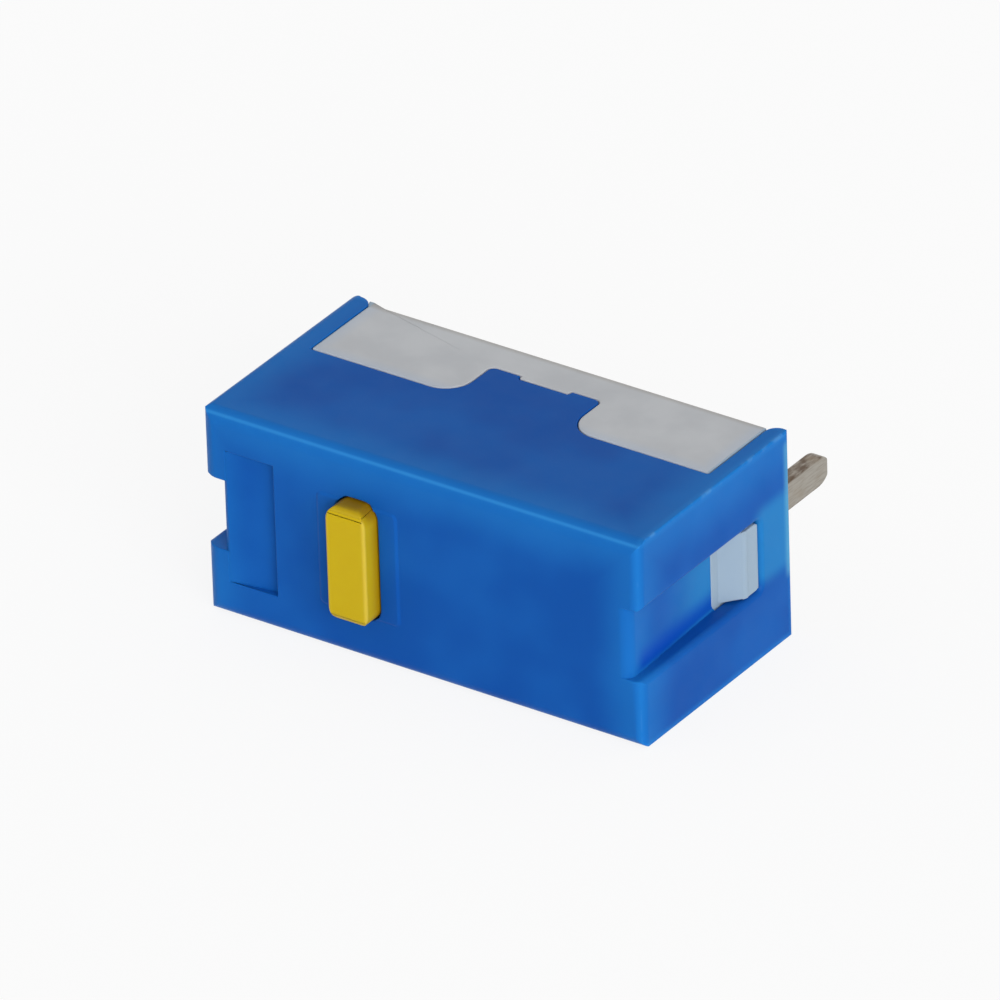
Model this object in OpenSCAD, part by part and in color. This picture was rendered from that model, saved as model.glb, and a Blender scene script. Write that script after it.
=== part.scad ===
// Sealed subminiature snap-action switch, lying on its side.
//
// Every module below works in the switch's own frame: x runs along the case, y is the depth
// from the front face (where the plunger comes out) towards the pins, and z runs from side to
// side, with 0 at mid thickness. The module in_place() then lays the switch on its side with
// the origin under the middle of its bounding box.

/* [Case] */
// Length over the two ends of the cover
case_len = 12.8; // [12.6:0.1:13.2]
// How far the cover's outside is set towards the plunger's end from the middle of the base
end_shift = 0.13; // [0:0.01:0.15]
// Thickness from side to side
case_w = 5.7; // [5.6:0.05:6]
// Depth from the front face to the underside of the base
case_depth = 6.3; // [6.2:0.05:6.6]
// Height of the feet and of the cover's straps beyond the base
foot_h = 0.2; // [0.1:0.05:0.3]
// Rounding of the cover's long edges
edge_r = 0.1; // [0.05:0.01:0.15]
// Rounding of the cover's long front edges
front_r = 0.35; // [0.2:0.05:0.4]
// Rounding of the cover's front edges at its two ends
end_r = 0.3; // [0.2:0.05:0.35]

/* [Cover] */
// Thickness of the front wall
front_wall = 0.55; // [0.5:0.05:0.6]
// Thickness of the side walls, the skirts and their tongues
side_wall = 0.5; // [0.4:0.05:0.55]
// Length inside the straps that run down the ends
inner_len = 11.6; // [11.5:0.05:11.7]
// Rounding inside the straps' tips, which leads them over the lugs
lead_r = 0.4; // [0.3:0.02:0.4]
// Wall left between the floor of an end channel and the cavity
channel_wall = 0.33; // [0.3:0.01:0.4]
// Depth at which the side skirts end
skirt_depth = 3.74; // [3.55:0.01:3.75]
// Width of the tongue in the middle of each skirt
tongue_w = 3.2; // [3:0.02:3.8]
// Place of the middle of the tongues along the base
tongue_x = 0.06; // [0:0.01:0.1]
// Depth at which the tongues end
tongue_depth = 5.3; // [5.1:0.02:5.4]
// Fillet between a tongue and its skirt
tongue_root_r = 0.75; // [0.3:0.05:0.9]
// Width of the shallow step in the tip of a tongue
tongue_step_w = 1.48; // [1:0.02:2]
// Depth of that step
tongue_step_d = 0.15; // [0.05:0.01:0.2]
// Width of the end channels and snap slots
channel_w = 1.95; // [1.8:0.05:2.1]
// How much shallower the end channels are at the front face than at the snap slots
channel_rise = 0.14; // [0:0.01:0.15]
// Depth at which the snap slots end
slot_depth = 5.2; // [5.1:0.05:5.4]

/* [Plunger] */
// Place of the plunger along the case, from its middle
plunger_x = -1.9; // [-2:0.01:-1.8]
// Width of the plunger's head
plunger_w = 1.15; // [1:0.05:1.3]
// Length of the plunger's head, from side to side
plunger_len = 3.2; // [3:0.05:3.35]
// Rounding of the head's corners
plunger_r = 0.45; // [0.3:0.02:0.5]
// Rounding of the head's front edges at its two ends
plunger_end_r = 0.3; // [0.1:0.05:0.4]
// Height of the head above the front face at rest
plunger_out = 0.55; // [0.5:0.05:0.8]
// Full travel of the plunger
travel = 0.45; // [0.3:0.05:0.45]
// Gap between the head and its hole in the cover
hole_gap = 0.05; // [0.04:0.01:0.08]

/* [Terminals] */
// Distance between pins
pin_pitch = 5.08; // [5:0.02:5.1]
// Thickness of the terminal strip
strip_t = 0.4; // [0.36:0.02:0.4]
// Width of a pin
pin_w = 0.8; // [0.7:0.05:0.9]
// Length of a pin below the feet
pin_len = 3.2; // [3:0.05:3.5]

/* [Contacts] */
// Thickness of the contact spring
spring_t = 0.1; // [0.08:0.01:0.1]
// Radius of the contact buttons
contact_r = 0.42; // [0.35:0.01:0.45]
// Place of the contacts along the case, from its middle
contact_x = -4; // [-4.05:0.05:-3.9]

/* [Hidden] */
$fn = 48;

// Colours
blue = [0.12, 0.36, 0.70];
milky = [0.76, 0.77, 0.79];
yellow = [0.80, 0.67, 0.10];
tinned = [0.72, 0.70, 0.66];
copper = [0.80, 0.54, 0.30];
silver = [0.86, 0.86, 0.88];
silicone = [0.45, 0.45, 0.47];

// Cuts run this far past the faces they break through
past = 1;
// Half sizes of the case
half_len = case_len / 2;
ends = [half_len + end_shift, half_len - end_shift];
half_w = case_w / 2;
// Depth of the plane that the switch is seated on
seat_depth = case_depth + foot_h;
// Depth of the pins' ends
pin_tip = seat_depth + pin_len;
// The origin is under the middle of the bounding box, so the front face lies here
front_y = (plunger_out - pin_tip) / 2;

// Cover: cavity, end channels and pocket
strap_x = inner_len / 2;
cavity_x = strap_x - channel_wall;
cavity_z = half_w - side_wall;
cavity_r = 0.3;
strap_tip_r = [0.26, 0.06];
tongue_tip_r = 0.18;
channel_mouth_r = 0.16;
slot_r = 0.15;
pocket_x = [-5.75, -4.36];
pocket_z = 1.82;
pocket_d = [0.08, 0.24];
pad_w = 2.42;
pad_len = 3.2;
pad_h = 0.04;
pad_r = 0.08;

// Base: joint with the cover, rim round the mechanism, lugs and feet
joint_gap = 0.025;
base_x = strap_x - joint_gap;
base_z = cavity_z - joint_gap;
rim_gap = 0.05;
rim_x = cavity_x - rim_gap;
rim_z = cavity_z - rim_gap;
rim_depth = 2.2;
pocket_floor = 3.34;
bay_x = 4.6;
bay_z = 1.85;
base_edge_r = 0.12;
lug_w = channel_w - 0.1;
lug_out = 0.44;
lug_ramp = [4.05, 4.6];
lug_end = slot_depth - 0.03;
foot_size = [0.35, 0.6];
foot_inset = 0.3;
lip_w = 0.6;
lip = [[-0.2, -0.1], [-0.12, 0], [0.08, 0.15], [0.16, 0.15], [0.02, -0.1]];
well_size = [1.3, 2.0];
well_d = 0.25;
rib_x = [0.65, 1.05];
rib_depth = 2.98;

// Gasket ring, in a groove all round the rim
gasket_t = 0.17;
gasket_y = [2.75, 3.1];

// Plunger below the front wall, and its seal
shoulder_y = 0.62;
neck_w = 0.8;
neck_len = 2.85;
flange_w = 1.7;
flange_len = 3.75;
flange_y = [0.88, 1.18];
foot_w = 0.6;
foot_len = 3;
head_r = 0.08;
seal_rim_w = [2.1, 2.6];
seal_rim_len = [4.15, 4.6];
seal_rim_y = [front_wall, 0.9];
seal_lip_w = 0.16;
seal_web_t = 0.12;
seal_gap = 0.01;

// Contact spring at rest lies between these depths; the hinge line is at its tail
spring_y = 1.64;
spring_mid = spring_y + spring_t / 2;
post_x = pin_pitch - strip_t / 2;
hinge_x = post_x - 0.02;
frame_x = [-3.2, hinge_x - 0.02];
frame_z = 1.6;
window_x = [-1.3, 4];
window_z = 1.15;
arm_x = -4.5;
arm_z = 0.55;
neck_z = 0.38;
tail_z = 0.75;
tail_t = 0.12;
tail_gap = 0.02;
tongue_z = 0.75;
tongue_end = [1.42, 2.2];
tongue_sag = 0.42;

// Terminals inside the case
strip_r = 0.1;
plate_y = pocket_floor - strip_t;
shank_end = 4.4;
com_z = 0.95;
com_top = 1.35;
com_slot_z = 0.42;
com_slot_y = spring_y + spring_t + 0.02;
com_plate_x = 1.5;
com_plate_z = 0.9;
com_post_top = 1.92;
com_notch_y = [2.02, 2.55];
com_notch_d = 0.12;
arm_terminal_z = 0.75;
nc_top = 0.74;
nc_arm_x = -3.5;
no_arm_x = -4.5;
pin_tip_r = 0.38;
pin_coin_r = 0.16;

// Contacts: each meets the next with this gap at rest and at full travel
contact_gap = 0.02;
moving_h = 0.24;
shank_r = 0.2;
dome_r = 1.5;
swing = asin(travel / (hinge_x - plunger_x));
contact_drop = (hinge_x - contact_x + contact_r) * sin(swing);
nc_face = spring_y - moving_h - contact_gap;
no_face = spring_mid + contact_drop + spring_t / 2 + moving_h;

// ---- Placing and drawing helpers ----

// Lays the switch on its side, with the origin under the middle of its bounding box
module in_place() {
    translate([end_shift, front_y, half_w]) children();
}

// Extrudes an outline drawn in y and z, from x0 to x1
module along_x(x0, x1) {
    translate([x0, 0, 0]) rotate([90, 0, 90]) linear_extrude(x1 - x0) children();
}

// Extrudes an outline drawn in x and z, from depth y0 to y1
module along_y(y0, y1) {
    translate([0, y1, 0]) rotate([90, 0, 0]) linear_extrude(y1 - y0) children();
}

// Extrudes an outline drawn in x and y, from z0 to z1
module along_z(z0, z1) {
    translate([0, 0, z0]) linear_extrude(z1 - z0) children();
}

// What a rounding of radius r takes off a corner at the origin, of a shape towards -x and -y
module corner_off(r) {
    difference() {
        translate([-r, -r]) square(r + past);
        translate([-r, -r]) circle(r);
    }
}

// Rectangle from low to high with round corners
module round_rect(low, high, r) {
    translate([low[0] + r, low[1]]) square([high[0] - low[0] - 2 * r, high[1] - low[1]]);
    translate([low[0], low[1] + r]) square([high[0] - low[0], high[1] - low[1] - 2 * r]);
    for (x = [low[0] + r, high[0] - r], y = [low[1] + r, high[1] - r]) {
        translate([x, y]) circle(r);
    }
}

// Rectangle centred on the origin with round corners
module centred_rect(w, h, r) {
    round_rect([-w / 2, -h / 2], [w / 2, h / 2], r);
}

// Oblong with full round ends, w wide and l long, centred on the origin
module oblong(w, l) {
    square([w, l - w], center = true);
    for (s = [-1, 1]) {
        translate([0, s * (l - w) / 2]) circle(w / 2);
    }
}

// Section of a bent strip: outer corner at the origin, legs along +x and +y, inner radius r
module elbow(t, leg_x, leg_y, r) {
    corner = t + r;
    difference() {
        union() {
            square([leg_x, t]);
            square([t, leg_y]);
            square(corner);
        }
        translate([corner, corner]) circle(r);
        difference() {
            square(corner);
            translate([corner, corner]) circle(corner);
        }
    }
}

// ---- Cover ----

// Tongue of a skirt, seen from the side; gap grows it for its seat in the base
module tongue_outline(gap) {
    half = tongue_w / 2;
    translate([tongue_x, 0]) difference() {
        union() {
            round_rect([-half - gap, skirt_depth - past], [half + gap, tongue_depth + gap],
                       tongue_tip_r + gap);
            for (s = [-1, 1]) {
                difference() {
                    translate([s * (half + tongue_root_r / 2), skirt_depth + tongue_root_r / 2])
                        square(tongue_root_r + 2 * gap, center = true);
                    translate([s * (half + tongue_root_r), skirt_depth + tongue_root_r])
                        circle(tongue_root_r - gap);
                }
            }
        }
        translate([gap - tongue_step_w / 2, tongue_depth - tongue_step_d + gap])
            square([tongue_step_w - 2 * gap, past]);
        for (s = [-1, 1]) {
            translate([s * (half + tongue_root_r + past / 2), skirt_depth + past + gap])
                square([past, 2 * past], center = true);
        }
    }
}

// Strap at the +x end, whose outer face is at place out
module strap_outline(out, tip_r) {
    difference() {
        translate([strap_x, skirt_depth - end_r])
            square([out - strap_x, seat_depth - skirt_depth + end_r]);
        translate([out, seat_depth]) corner_off(tip_r);
        translate([strap_x, seat_depth]) mirror([1, 0]) corner_off(lead_r);
    }
}

// Whole cover, seen from the side
module cover_outline() {
    round_rect([-ends[0], 0], [ends[1], skirt_depth], end_r);
    mirror([1, 0]) strap_outline(ends[0], strap_tip_r[0]);
    strap_outline(ends[1], strap_tip_r[1]);
    tongue_outline(0);
}

// One end channel at the +x end: its floor slopes from the front face in to the snap slot
module end_channel(out) {
    half = channel_w / 2;
    mouth = out - channel_mouth_r;
    front_x = strap_x + channel_rise;
    along_z(-half, half) {
        polygon([[front_x, -past], [out + past, -past], [out + past, skirt_depth],
                 [strap_x, skirt_depth], [front_x, end_r]]);
        difference() {
            translate([front_x - end_r, -past]) square([past, past + end_r]);
            translate([front_x - end_r, end_r]) circle(end_r);
        }
    }
    along_y(-past, slot_depth) for (s = [-1, 1]) {
        difference() {
            translate([mouth, s * half - channel_mouth_r]) square([past, 2 * channel_mouth_r]);
            translate([mouth, s * (half + channel_mouth_r)]) circle(channel_mouth_r);
        }
    }
}

// One snap slot through the strap, at the +x end
module snap_slot(out) {
    half = channel_w / 2;
    along_x(cavity_x - past, out + past)
        round_rect([skirt_depth, -half], [slot_depth, half], slot_r);
    along_x(strap_x, out + past)
        translate([skirt_depth - slot_r, -half]) square([3 * slot_r, channel_w]);
}

module cover_body() {
    difference() {
        intersection() {
            along_z(-half_w, half_w) cover_outline();
            along_x(-ends[0], ends[1])
                round_rect([0, -half_w], [seat_depth + past, half_w], front_r);
            along_y(0, seat_depth)
                round_rect([-ends[0], -half_w], [ends[1], half_w], edge_r);
        }
        along_y(front_wall, seat_depth + past)
            centred_rect(2 * cavity_x, 2 * cavity_z, cavity_r);
        along_y(skirt_depth, seat_depth + past)
            centred_rect(2 * strap_x, 2 * cavity_z, joint_gap);
        for (s = [0, 1]) mirror([1 - s, 0, 0]) {
            end_channel(ends[s]);
            snap_slot(ends[s]);
        }
        along_z(-pocket_z, pocket_z)
            polygon([[pocket_x[0], -past], [pocket_x[1], -past],
                     [pocket_x[1], pocket_d[1]], [pocket_x[0], pocket_d[0]]]);
    }
}

module cover() {
    color(blue) in_place() difference() {
        union() {
            cover_body();
            translate([plunger_x, 0, 0])
                along_y(-pad_h, front_wall / 2) centred_rect(pad_w, pad_len, pad_r);
        }
        translate([plunger_x, 0, 0]) along_y(-past, front_wall + past)
            centred_rect(plunger_w + 2 * hole_gap, plunger_len + 2 * hole_gap,
                         plunger_r + hole_gap);
    }
}

// ---- Base ----

// Ramped lug that the strap snaps over, at the +x end
module snap_lug() {
    intersection() {
        along_z(-lug_w / 2, lug_w / 2)
            polygon([[bay_x, lug_ramp[0]], [base_x, lug_ramp[0]],
                     [base_x + lug_out, lug_ramp[1]], [base_x + lug_out, lug_end],
                     [bay_x, lug_end]]);
        along_x(bay_x, base_x + lug_out)
            round_rect([skirt_depth, -lug_w / 2], [lug_end, lug_w / 2], slot_r);
    }
}

// Small lips of the base's corners beside the thicker strap
module corner_lips() {
    for (z = [-half_w, half_w - lip_w]) {
        along_z(z, z + lip_w) mirror([1, 0]) translate([base_x, case_depth]) polygon(lip);
    }
}

module base_block() {
    intersection() {
        union() {
            along_z(-half_w, half_w) difference() {
                translate([-base_x, skirt_depth + joint_gap])
                    square([2 * base_x, case_depth - skirt_depth - joint_gap]);
                tongue_outline(joint_gap);
            }
            along_y(skirt_depth + joint_gap, case_depth)
                square([2 * base_x, 2 * base_z], center = true);
        }
        along_x(-base_x, base_x)
            round_rect([skirt_depth - past, -half_w], [case_depth, half_w], base_edge_r);
    }
}

// Rim that stands inside the cover round the mechanism
module base_rim() {
    difference() {
        along_y(rim_depth, skirt_depth + past) centred_rect(2 * rim_x, 2 * rim_z, cavity_r);
        along_y(gasket_y[0], gasket_y[1]) difference() {
            square([2 * cavity_x, 2 * cavity_z], center = true);
            centred_rect(2 * (cavity_x - gasket_t), 2 * (cavity_z - gasket_t),
                         cavity_r - gasket_t);
        }
    }
}

module base() {
    color(milky) in_place() difference() {
        union() {
            base_block();
            base_rim();
            for (s = [0, 1]) mirror([s, 0, 0]) {
                snap_lug();
                for (t = [-1, 1]) {
                    translate([base_x - foot_size[0] / 2, 0,
                               t * (half_w - foot_inset - foot_size[1] / 2)])
                        along_y(case_depth - past, seat_depth)
                            square(foot_size, center = true);
                }
            }
            corner_lips();
        }
        difference() {
            along_y(rim_depth - past, pocket_floor) centred_rect(2 * bay_x, 2 * bay_z, cavity_r);
            along_y(rib_depth, case_depth)
                translate([rib_x[0], -half_w]) square([rib_x[1] - rib_x[0], case_w]);
        }
        for (x = [-pin_pitch, 0, pin_pitch]) {
            translate([x, 0, 0]) along_y(case_depth - well_d, case_depth + past)
                centred_rect(well_size[0], well_size[1], cavity_r);
        }
        com_strip();
        no_strip();
        nc_strip();
    }
}

// Ring between the rim of the base and the walls of the cover
module base_gasket() {
    color(silicone) in_place() along_y(gasket_y[0], gasket_y[1]) difference() {
        centred_rect(2 * cavity_x, 2 * cavity_z, cavity_r);
        centred_rect(2 * (cavity_x - gasket_t), 2 * (cavity_z - gasket_t), cavity_r - gasket_t);
    }
}

// ---- Plunger and its seal ----

module plunger() {
    foot_end = spring_y - contact_gap;
    color(yellow) in_place() translate([plunger_x, 0, 0]) {
        intersection() {
            along_y(-plunger_out, shoulder_y) centred_rect(plunger_w, plunger_len, plunger_r);
            along_z(-half_w, half_w)
                round_rect([-plunger_w / 2, -plunger_out], [plunger_w / 2, shoulder_y + past],
                           head_r);
            along_x(-plunger_w, plunger_w)
                round_rect([-plunger_out, -plunger_len / 2], [shoulder_y + past, plunger_len / 2],
                           plunger_end_r);
        }
        along_y(shoulder_y - seal_web_t, flange_y[0] + seal_web_t) oblong(neck_w, neck_len);
        along_y(flange_y[0], flange_y[1]) oblong(flange_w, flange_len);
        along_z(-foot_len / 2, foot_len / 2) {
            translate([0, foot_end - foot_w / 2]) circle(foot_w / 2);
            translate([-foot_w / 2, flange_y[1] - seal_web_t])
                square([foot_w, foot_end - foot_w / 2 - flange_y[1] + seal_web_t]);
        }
    }
}

// Thin web between a rim bonded to the cover and a lip that grips the plunger's neck
module plunger_seal() {
    lip_y = [shoulder_y + seal_gap, flange_y[0] - seal_gap];
    web_mid = (lip_y[0] + lip_y[1]) / 2;
    lip_w = neck_w + 2 * seal_gap + 2 * seal_lip_w;
    lip_len = neck_len + 2 * seal_gap + 2 * seal_lip_w;
    color(silicone) in_place() translate([plunger_x, 0, 0]) difference() {
        union() {
            along_y(lip_y[0], lip_y[1]) oblong(lip_w, lip_len);
            along_y(web_mid - seal_web_t / 2, web_mid + seal_web_t / 2)
                oblong(seal_rim_w[1] - seal_web_t, seal_rim_len[1] - seal_web_t);
            along_y(seal_rim_y[0], seal_rim_y[1]) difference() {
                oblong(seal_rim_w[1], seal_rim_len[1]);
                oblong(seal_rim_w[0], seal_rim_len[0]);
            }
        }
        along_y(0, 2 * flange_y[1]) oblong(neck_w + 2 * seal_gap, neck_len + 2 * seal_gap);
    }
}

// ---- Terminals ----

// Pin at place x, from the shank to its rounded and coined tip
module pin(x) {
    intersection() {
        along_x(x - strip_t / 2, x + strip_t / 2)
            round_rect([shank_end - past, -pin_w / 2], [pin_tip, pin_w / 2], pin_tip_r);
        along_z(-pin_w, pin_w)
            round_rect([x - strip_t / 2, shank_end - past], [x + strip_t / 2, pin_tip],
                       pin_coin_r);
    }
}

// Common terminal: post with a slot for the spring's tail, plate and post for the tongue
module com_strip() {
    far = pin_pitch + strip_t / 2;
    pin(pin_pitch);
    difference() {
        along_x(post_x, far) round_rect([com_top, -com_z], [shank_end, com_z], pin_coin_r);
        along_x(post_x - past, far + past)
            translate([com_top - past, -com_slot_z])
                square([com_slot_y - com_top + past, 2 * com_slot_z]);
    }
    along_z(-com_plate_z, com_plate_z) {
        difference() {
            translate([com_plate_x, pocket_floor]) mirror([0, 1])
                elbow(strip_t, far - strip_r - com_plate_x, pocket_floor - com_post_top, strip_r);
            translate([com_plate_x - past, com_notch_y[0]])
                square([past + com_notch_d, com_notch_y[1] - com_notch_y[0]]);
        }
    }
}

// Normally open terminal: an arm on the floor of the base, under the moving contact
module no_strip() {
    pin(0);
    along_z(-arm_terminal_z, arm_terminal_z)
        translate([strip_t / 2, plate_y]) mirror([1, 0])
            elbow(strip_t, strip_t / 2 - no_arm_x, shank_end - plate_y, strip_r);
}

// Normally closed terminal: an arm over the moving contact
module nc_strip() {
    pin(-pin_pitch);
    along_z(-arm_terminal_z, arm_terminal_z)
        translate([-pin_pitch - strip_t / 2, nc_top])
            elbow(strip_t, nc_arm_x + pin_pitch + strip_t / 2, shank_end - nc_top, strip_r);
}

module com_terminal() {
    color(tinned) in_place() com_strip();
}

module no_terminal() {
    color(tinned) in_place() no_strip();
}

module nc_terminal() {
    color(tinned) in_place() nc_strip();
}

// ---- Contact spring and contacts ----

// Flat blank of the spring, seen from the plunger's side
module spring_blank() {
    difference() {
        union() {
            translate([frame_x[0], -frame_z])
                square([frame_x[1] - frame_x[0], 2 * frame_z]);
            polygon([[frame_x[0], -frame_z], [frame_x[0], frame_z],
                     [contact_x, arm_z], [contact_x, -arm_z]]);
            round_rect([arm_x, -arm_z], [contact_x + arm_z, arm_z], arm_z / 2);
            translate([0, -neck_z]) square([post_x + strip_t + tail_gap + tail_t, 2 * neck_z]);
            translate([post_x + strip_t + tail_gap, -tail_z]) square([tail_t, 2 * tail_z]);
        }
        round_rect([window_x[0], -window_z], [window_x[1], window_z], cavity_r / 2);
        translate([contact_x, 0]) circle(shank_r + contact_gap / 2);
    }
}

// Curved tongue: an arc of spring strip from the crossbar to the notch of the common terminal
module spring_tongue() {
    start = [window_x[0] - spring_t, spring_mid];
    run = tongue_end - start;
    chord = norm(run);
    r = chord * chord / (8 * tongue_sag) + tongue_sag / 2;
    normal = [-run[1], run[0]] / chord;
    centre = start + run / 2 + normal * (tongue_sag - r);
    along_z(-tongue_z, tongue_z) intersection() {
        translate(centre) difference() {
            circle(r + spring_t / 2);
            circle(r - spring_t / 2);
        }
        polygon([centre, centre + 2 * (start - centre), centre + 2 * (start + run / 2 - centre),
                 centre + 2 * (tongue_end - centre)]);
    }
}

module contact_spring() {
    color(copper) in_place() {
        along_y(spring_y, spring_y + spring_t) spring_blank();
        spring_tongue();
    }
}

// Button with a domed face: the face is at depth face, the back at depth back
module contact_button(face, back) {
    low = min(face, back);
    high = max(face, back);
    translate([contact_x, 0, 0]) intersection() {
        along_y(low, high) circle(contact_r);
        translate([0, face + sign(back - face) * dome_r, 0]) sphere(dome_r, $fn = 96);
    }
}

module moving_contact() {
    color(silver) in_place() translate([contact_x, 0, 0]) {
        along_y(spring_y - moving_h, spring_y) circle(contact_r);
        along_y(spring_y - moving_h / 2, spring_y + spring_t + moving_h / 2) circle(shank_r);
        along_y(spring_y + spring_t, spring_y + spring_t + moving_h) circle(contact_r);
    }
}

module no_contact() {
    color(silver) in_place() contact_button(no_face, plate_y);
}

module nc_contact() {
    color(silver) in_place() contact_button(nc_face, nc_top + strip_t);
}

cover();
base();
plunger();
plunger_seal();
base_gasket();
com_terminal();
no_terminal();
nc_terminal();
contact_spring();
moving_contact();
no_contact();
nc_contact();
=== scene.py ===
"""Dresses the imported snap-action switch with fine moulded and stamped pieces, finishes, a floor and light.

The pieces are drawn in millimetres in the switch's own frame: x runs along the case, y is the depth from
the front face towards the pins, and z runs from side to side with 0 at mid thickness. place() turns each
finished mesh into metres in the row frame.
"""
import logging
import math
from dataclasses import dataclass, field
from enum import Enum

import bmesh
import bpy
import numpy as np
from mathutils import Matrix, Vector


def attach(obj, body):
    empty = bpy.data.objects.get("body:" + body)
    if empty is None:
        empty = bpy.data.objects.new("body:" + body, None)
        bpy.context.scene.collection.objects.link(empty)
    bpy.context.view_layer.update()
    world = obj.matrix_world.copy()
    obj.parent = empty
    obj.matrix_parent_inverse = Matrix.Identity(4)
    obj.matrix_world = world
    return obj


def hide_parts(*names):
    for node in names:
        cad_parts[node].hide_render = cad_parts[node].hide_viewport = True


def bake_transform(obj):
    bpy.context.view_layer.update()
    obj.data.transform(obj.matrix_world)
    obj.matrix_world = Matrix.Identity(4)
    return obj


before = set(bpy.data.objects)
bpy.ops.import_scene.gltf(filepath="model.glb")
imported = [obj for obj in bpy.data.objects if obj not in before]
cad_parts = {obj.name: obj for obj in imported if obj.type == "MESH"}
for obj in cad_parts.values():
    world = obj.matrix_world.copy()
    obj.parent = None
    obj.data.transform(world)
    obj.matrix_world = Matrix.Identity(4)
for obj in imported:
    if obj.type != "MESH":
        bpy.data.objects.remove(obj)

log = logging.getLogger("switch")
MM = 0.001
ARC_STEPS = 10
RIM_STEPS = 6
SOFT_STEPS = 2
PAST = 1.0
SMALL = 0.06
FINE = 0.03


class Axis(Enum):
    """The way an outline is carried, and which switch coordinates its own two are."""

    X = "yz"
    Y = "xz"
    Z = "xy"


class Join(Enum):
    """How two solids are put together."""

    ADD = "UNION"
    CUT = "DIFFERENCE"
    MEET = "INTERSECT"


class Body(Enum):
    """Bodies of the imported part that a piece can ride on."""

    CASE = "case"
    PLUNGER = "plunger"
    ARM = "contact_arm"


@dataclass(frozen=True)
class SwitchSizes:
    """Sizes that several pieces share, in millimetres."""

    case_len: float = 12.8
    case_w: float = 5.7
    case_depth: float = 6.3
    end_shift: float = 0.13
    foot_h: float = 0.2
    end_r: float = 0.3
    front_wall: float = 0.55
    side_wall: float = 0.5
    inner_len: float = 11.6
    lead_r: float = 0.4
    channel_wall: float = 0.33
    channel_w: float = 1.95
    channel_rise: float = 0.14
    skirt_depth: float = 3.74
    slot_depth: float = 5.2
    slot_r: float = 0.15
    cavity_r: float = 0.3
    joint_gap: float = 0.025
    tongue_w: float = 3.2
    tongue_x: float = 0.06
    tongue_depth: float = 5.3
    tongue_root_r: float = 0.75
    tongue_tip_r: float = 0.18
    tongue_step_w: float = 1.48
    tongue_step_d: float = 0.15
    plunger_x: float = -1.9
    plunger_w: float = 1.15
    plunger_len: float = 3.2
    plunger_out: float = 0.55
    plunger_r: float = 0.38
    plunger_end_r: float = 0.3
    neck: tuple[float, float] = (0.8, 2.85)
    hole_gap: float = 0.05
    pin_pitch: float = 5.08
    strip_t: float = 0.4
    pin_w: float = 0.8
    pin_len: float = 3.2
    spring_y: float = 1.64
    spring_t: float = 0.1
    hinge_x: float = 4.86
    contact_x: float = -4.0
    contact_r: float = 0.42

    @property
    def half_len(self) -> float:
        """Half the length of the case."""
        return self.case_len / 2

    @property
    def ends(self) -> tuple[float, float]:
        """How far the cover reaches at its -x and its +x end."""
        return self.half_len + self.end_shift, self.half_len - self.end_shift

    @property
    def half_w(self) -> float:
        """Half the thickness of the case."""
        return self.case_w / 2

    @property
    def seat_depth(self) -> float:
        """Depth of the plane that the switch is seated on."""
        return self.case_depth + self.foot_h

    @property
    def pin_tip(self) -> float:
        """Depth of the ends of the pins."""
        return self.seat_depth + self.pin_len

    @property
    def front_y(self) -> float:
        """Place of the front face in the row frame."""
        return (self.plunger_out - self.pin_tip) / 2

    @property
    def strap_x(self) -> float:
        """Inner face of the straps."""
        return self.inner_len / 2

    @property
    def cavity_x(self) -> float:
        """Half the length of the cover's cavity."""
        return self.strap_x - self.channel_wall

    @property
    def cavity_z(self) -> float:
        """Half the thickness of the cover's cavity."""
        return self.half_w - self.side_wall

    @property
    def base_x(self) -> float:
        """Half the length of the base."""
        return self.strap_x - self.joint_gap

    @property
    def base_z(self) -> float:
        """Half the thickness of the base behind the skirts."""
        return self.cavity_z - self.joint_gap


SIZES = SwitchSizes()


# ---- Shapes worked out on whole arrays ----


def unit(v: np.ndarray) -> np.ndarray:
    """Rows of v scaled to length 1."""
    return v / np.linalg.norm(v, axis=1, keepdims=True)


def fillet(corners: list[tuple[float, float, float]], steps: int = ARC_STEPS) -> np.ndarray:
    """Closed outline with its corners rounded.

    Each corner becomes the arc that touches both its sides: the arc's centre is on the bisector, its
    radius over the sine of half the corner's angle away, and its points run evenly in angle between the
    two points of contact.

    Args:
        corners: (across, up, radius) of each corner, in order.
        steps: Segments in each arc.

    Returns:
        Outline points, one row each, without repeats.
    """
    data = np.asarray(corners, dtype=float)
    at, radius = data[:, :2], np.maximum(data[:, 2:], 1e-6)
    back = unit(np.roll(at, 1, axis=0) - at)
    ahead = unit(np.roll(at, -1, axis=0) - at)
    half = np.arccos(np.clip((back * ahead).sum(1, keepdims=True), -1, 1)) / 2
    centre = at + unit(back + ahead) * radius / np.sin(half)
    first = at + back * radius / np.tan(half) - centre
    last = at + ahead * radius / np.tan(half) - centre
    start = np.arctan2(first[:, 1], first[:, 0])
    turn = (np.arctan2(last[:, 1], last[:, 0]) - start + np.pi) % (2 * np.pi) - np.pi
    angle = start[:, None] + turn[:, None] * np.linspace(0, 1, steps + 1)
    arc = centre[:, None] + radius[:, None] * np.stack([np.cos(angle), np.sin(angle)], axis=2)
    points = arc.reshape(-1, 2)
    step = np.linalg.norm(points - np.roll(points, 1, axis=0), axis=1)
    return points[step > 1e-4]


def rectangle(low: tuple[float, float], high: tuple[float, float], r: float) -> np.ndarray:
    """Outline of a rectangle from low to high with corners of radius r."""
    return fillet([(low[0], low[1], r), (high[0], low[1], r), (high[0], high[1], r), (low[0], high[1], r)])


def centred(w: float, h: float, r: float) -> np.ndarray:
    """Outline of a rectangle round the origin, w by h, with corners of radius r."""
    return rectangle((-w / 2, -h / 2), (w / 2, h / 2), r)


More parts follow.
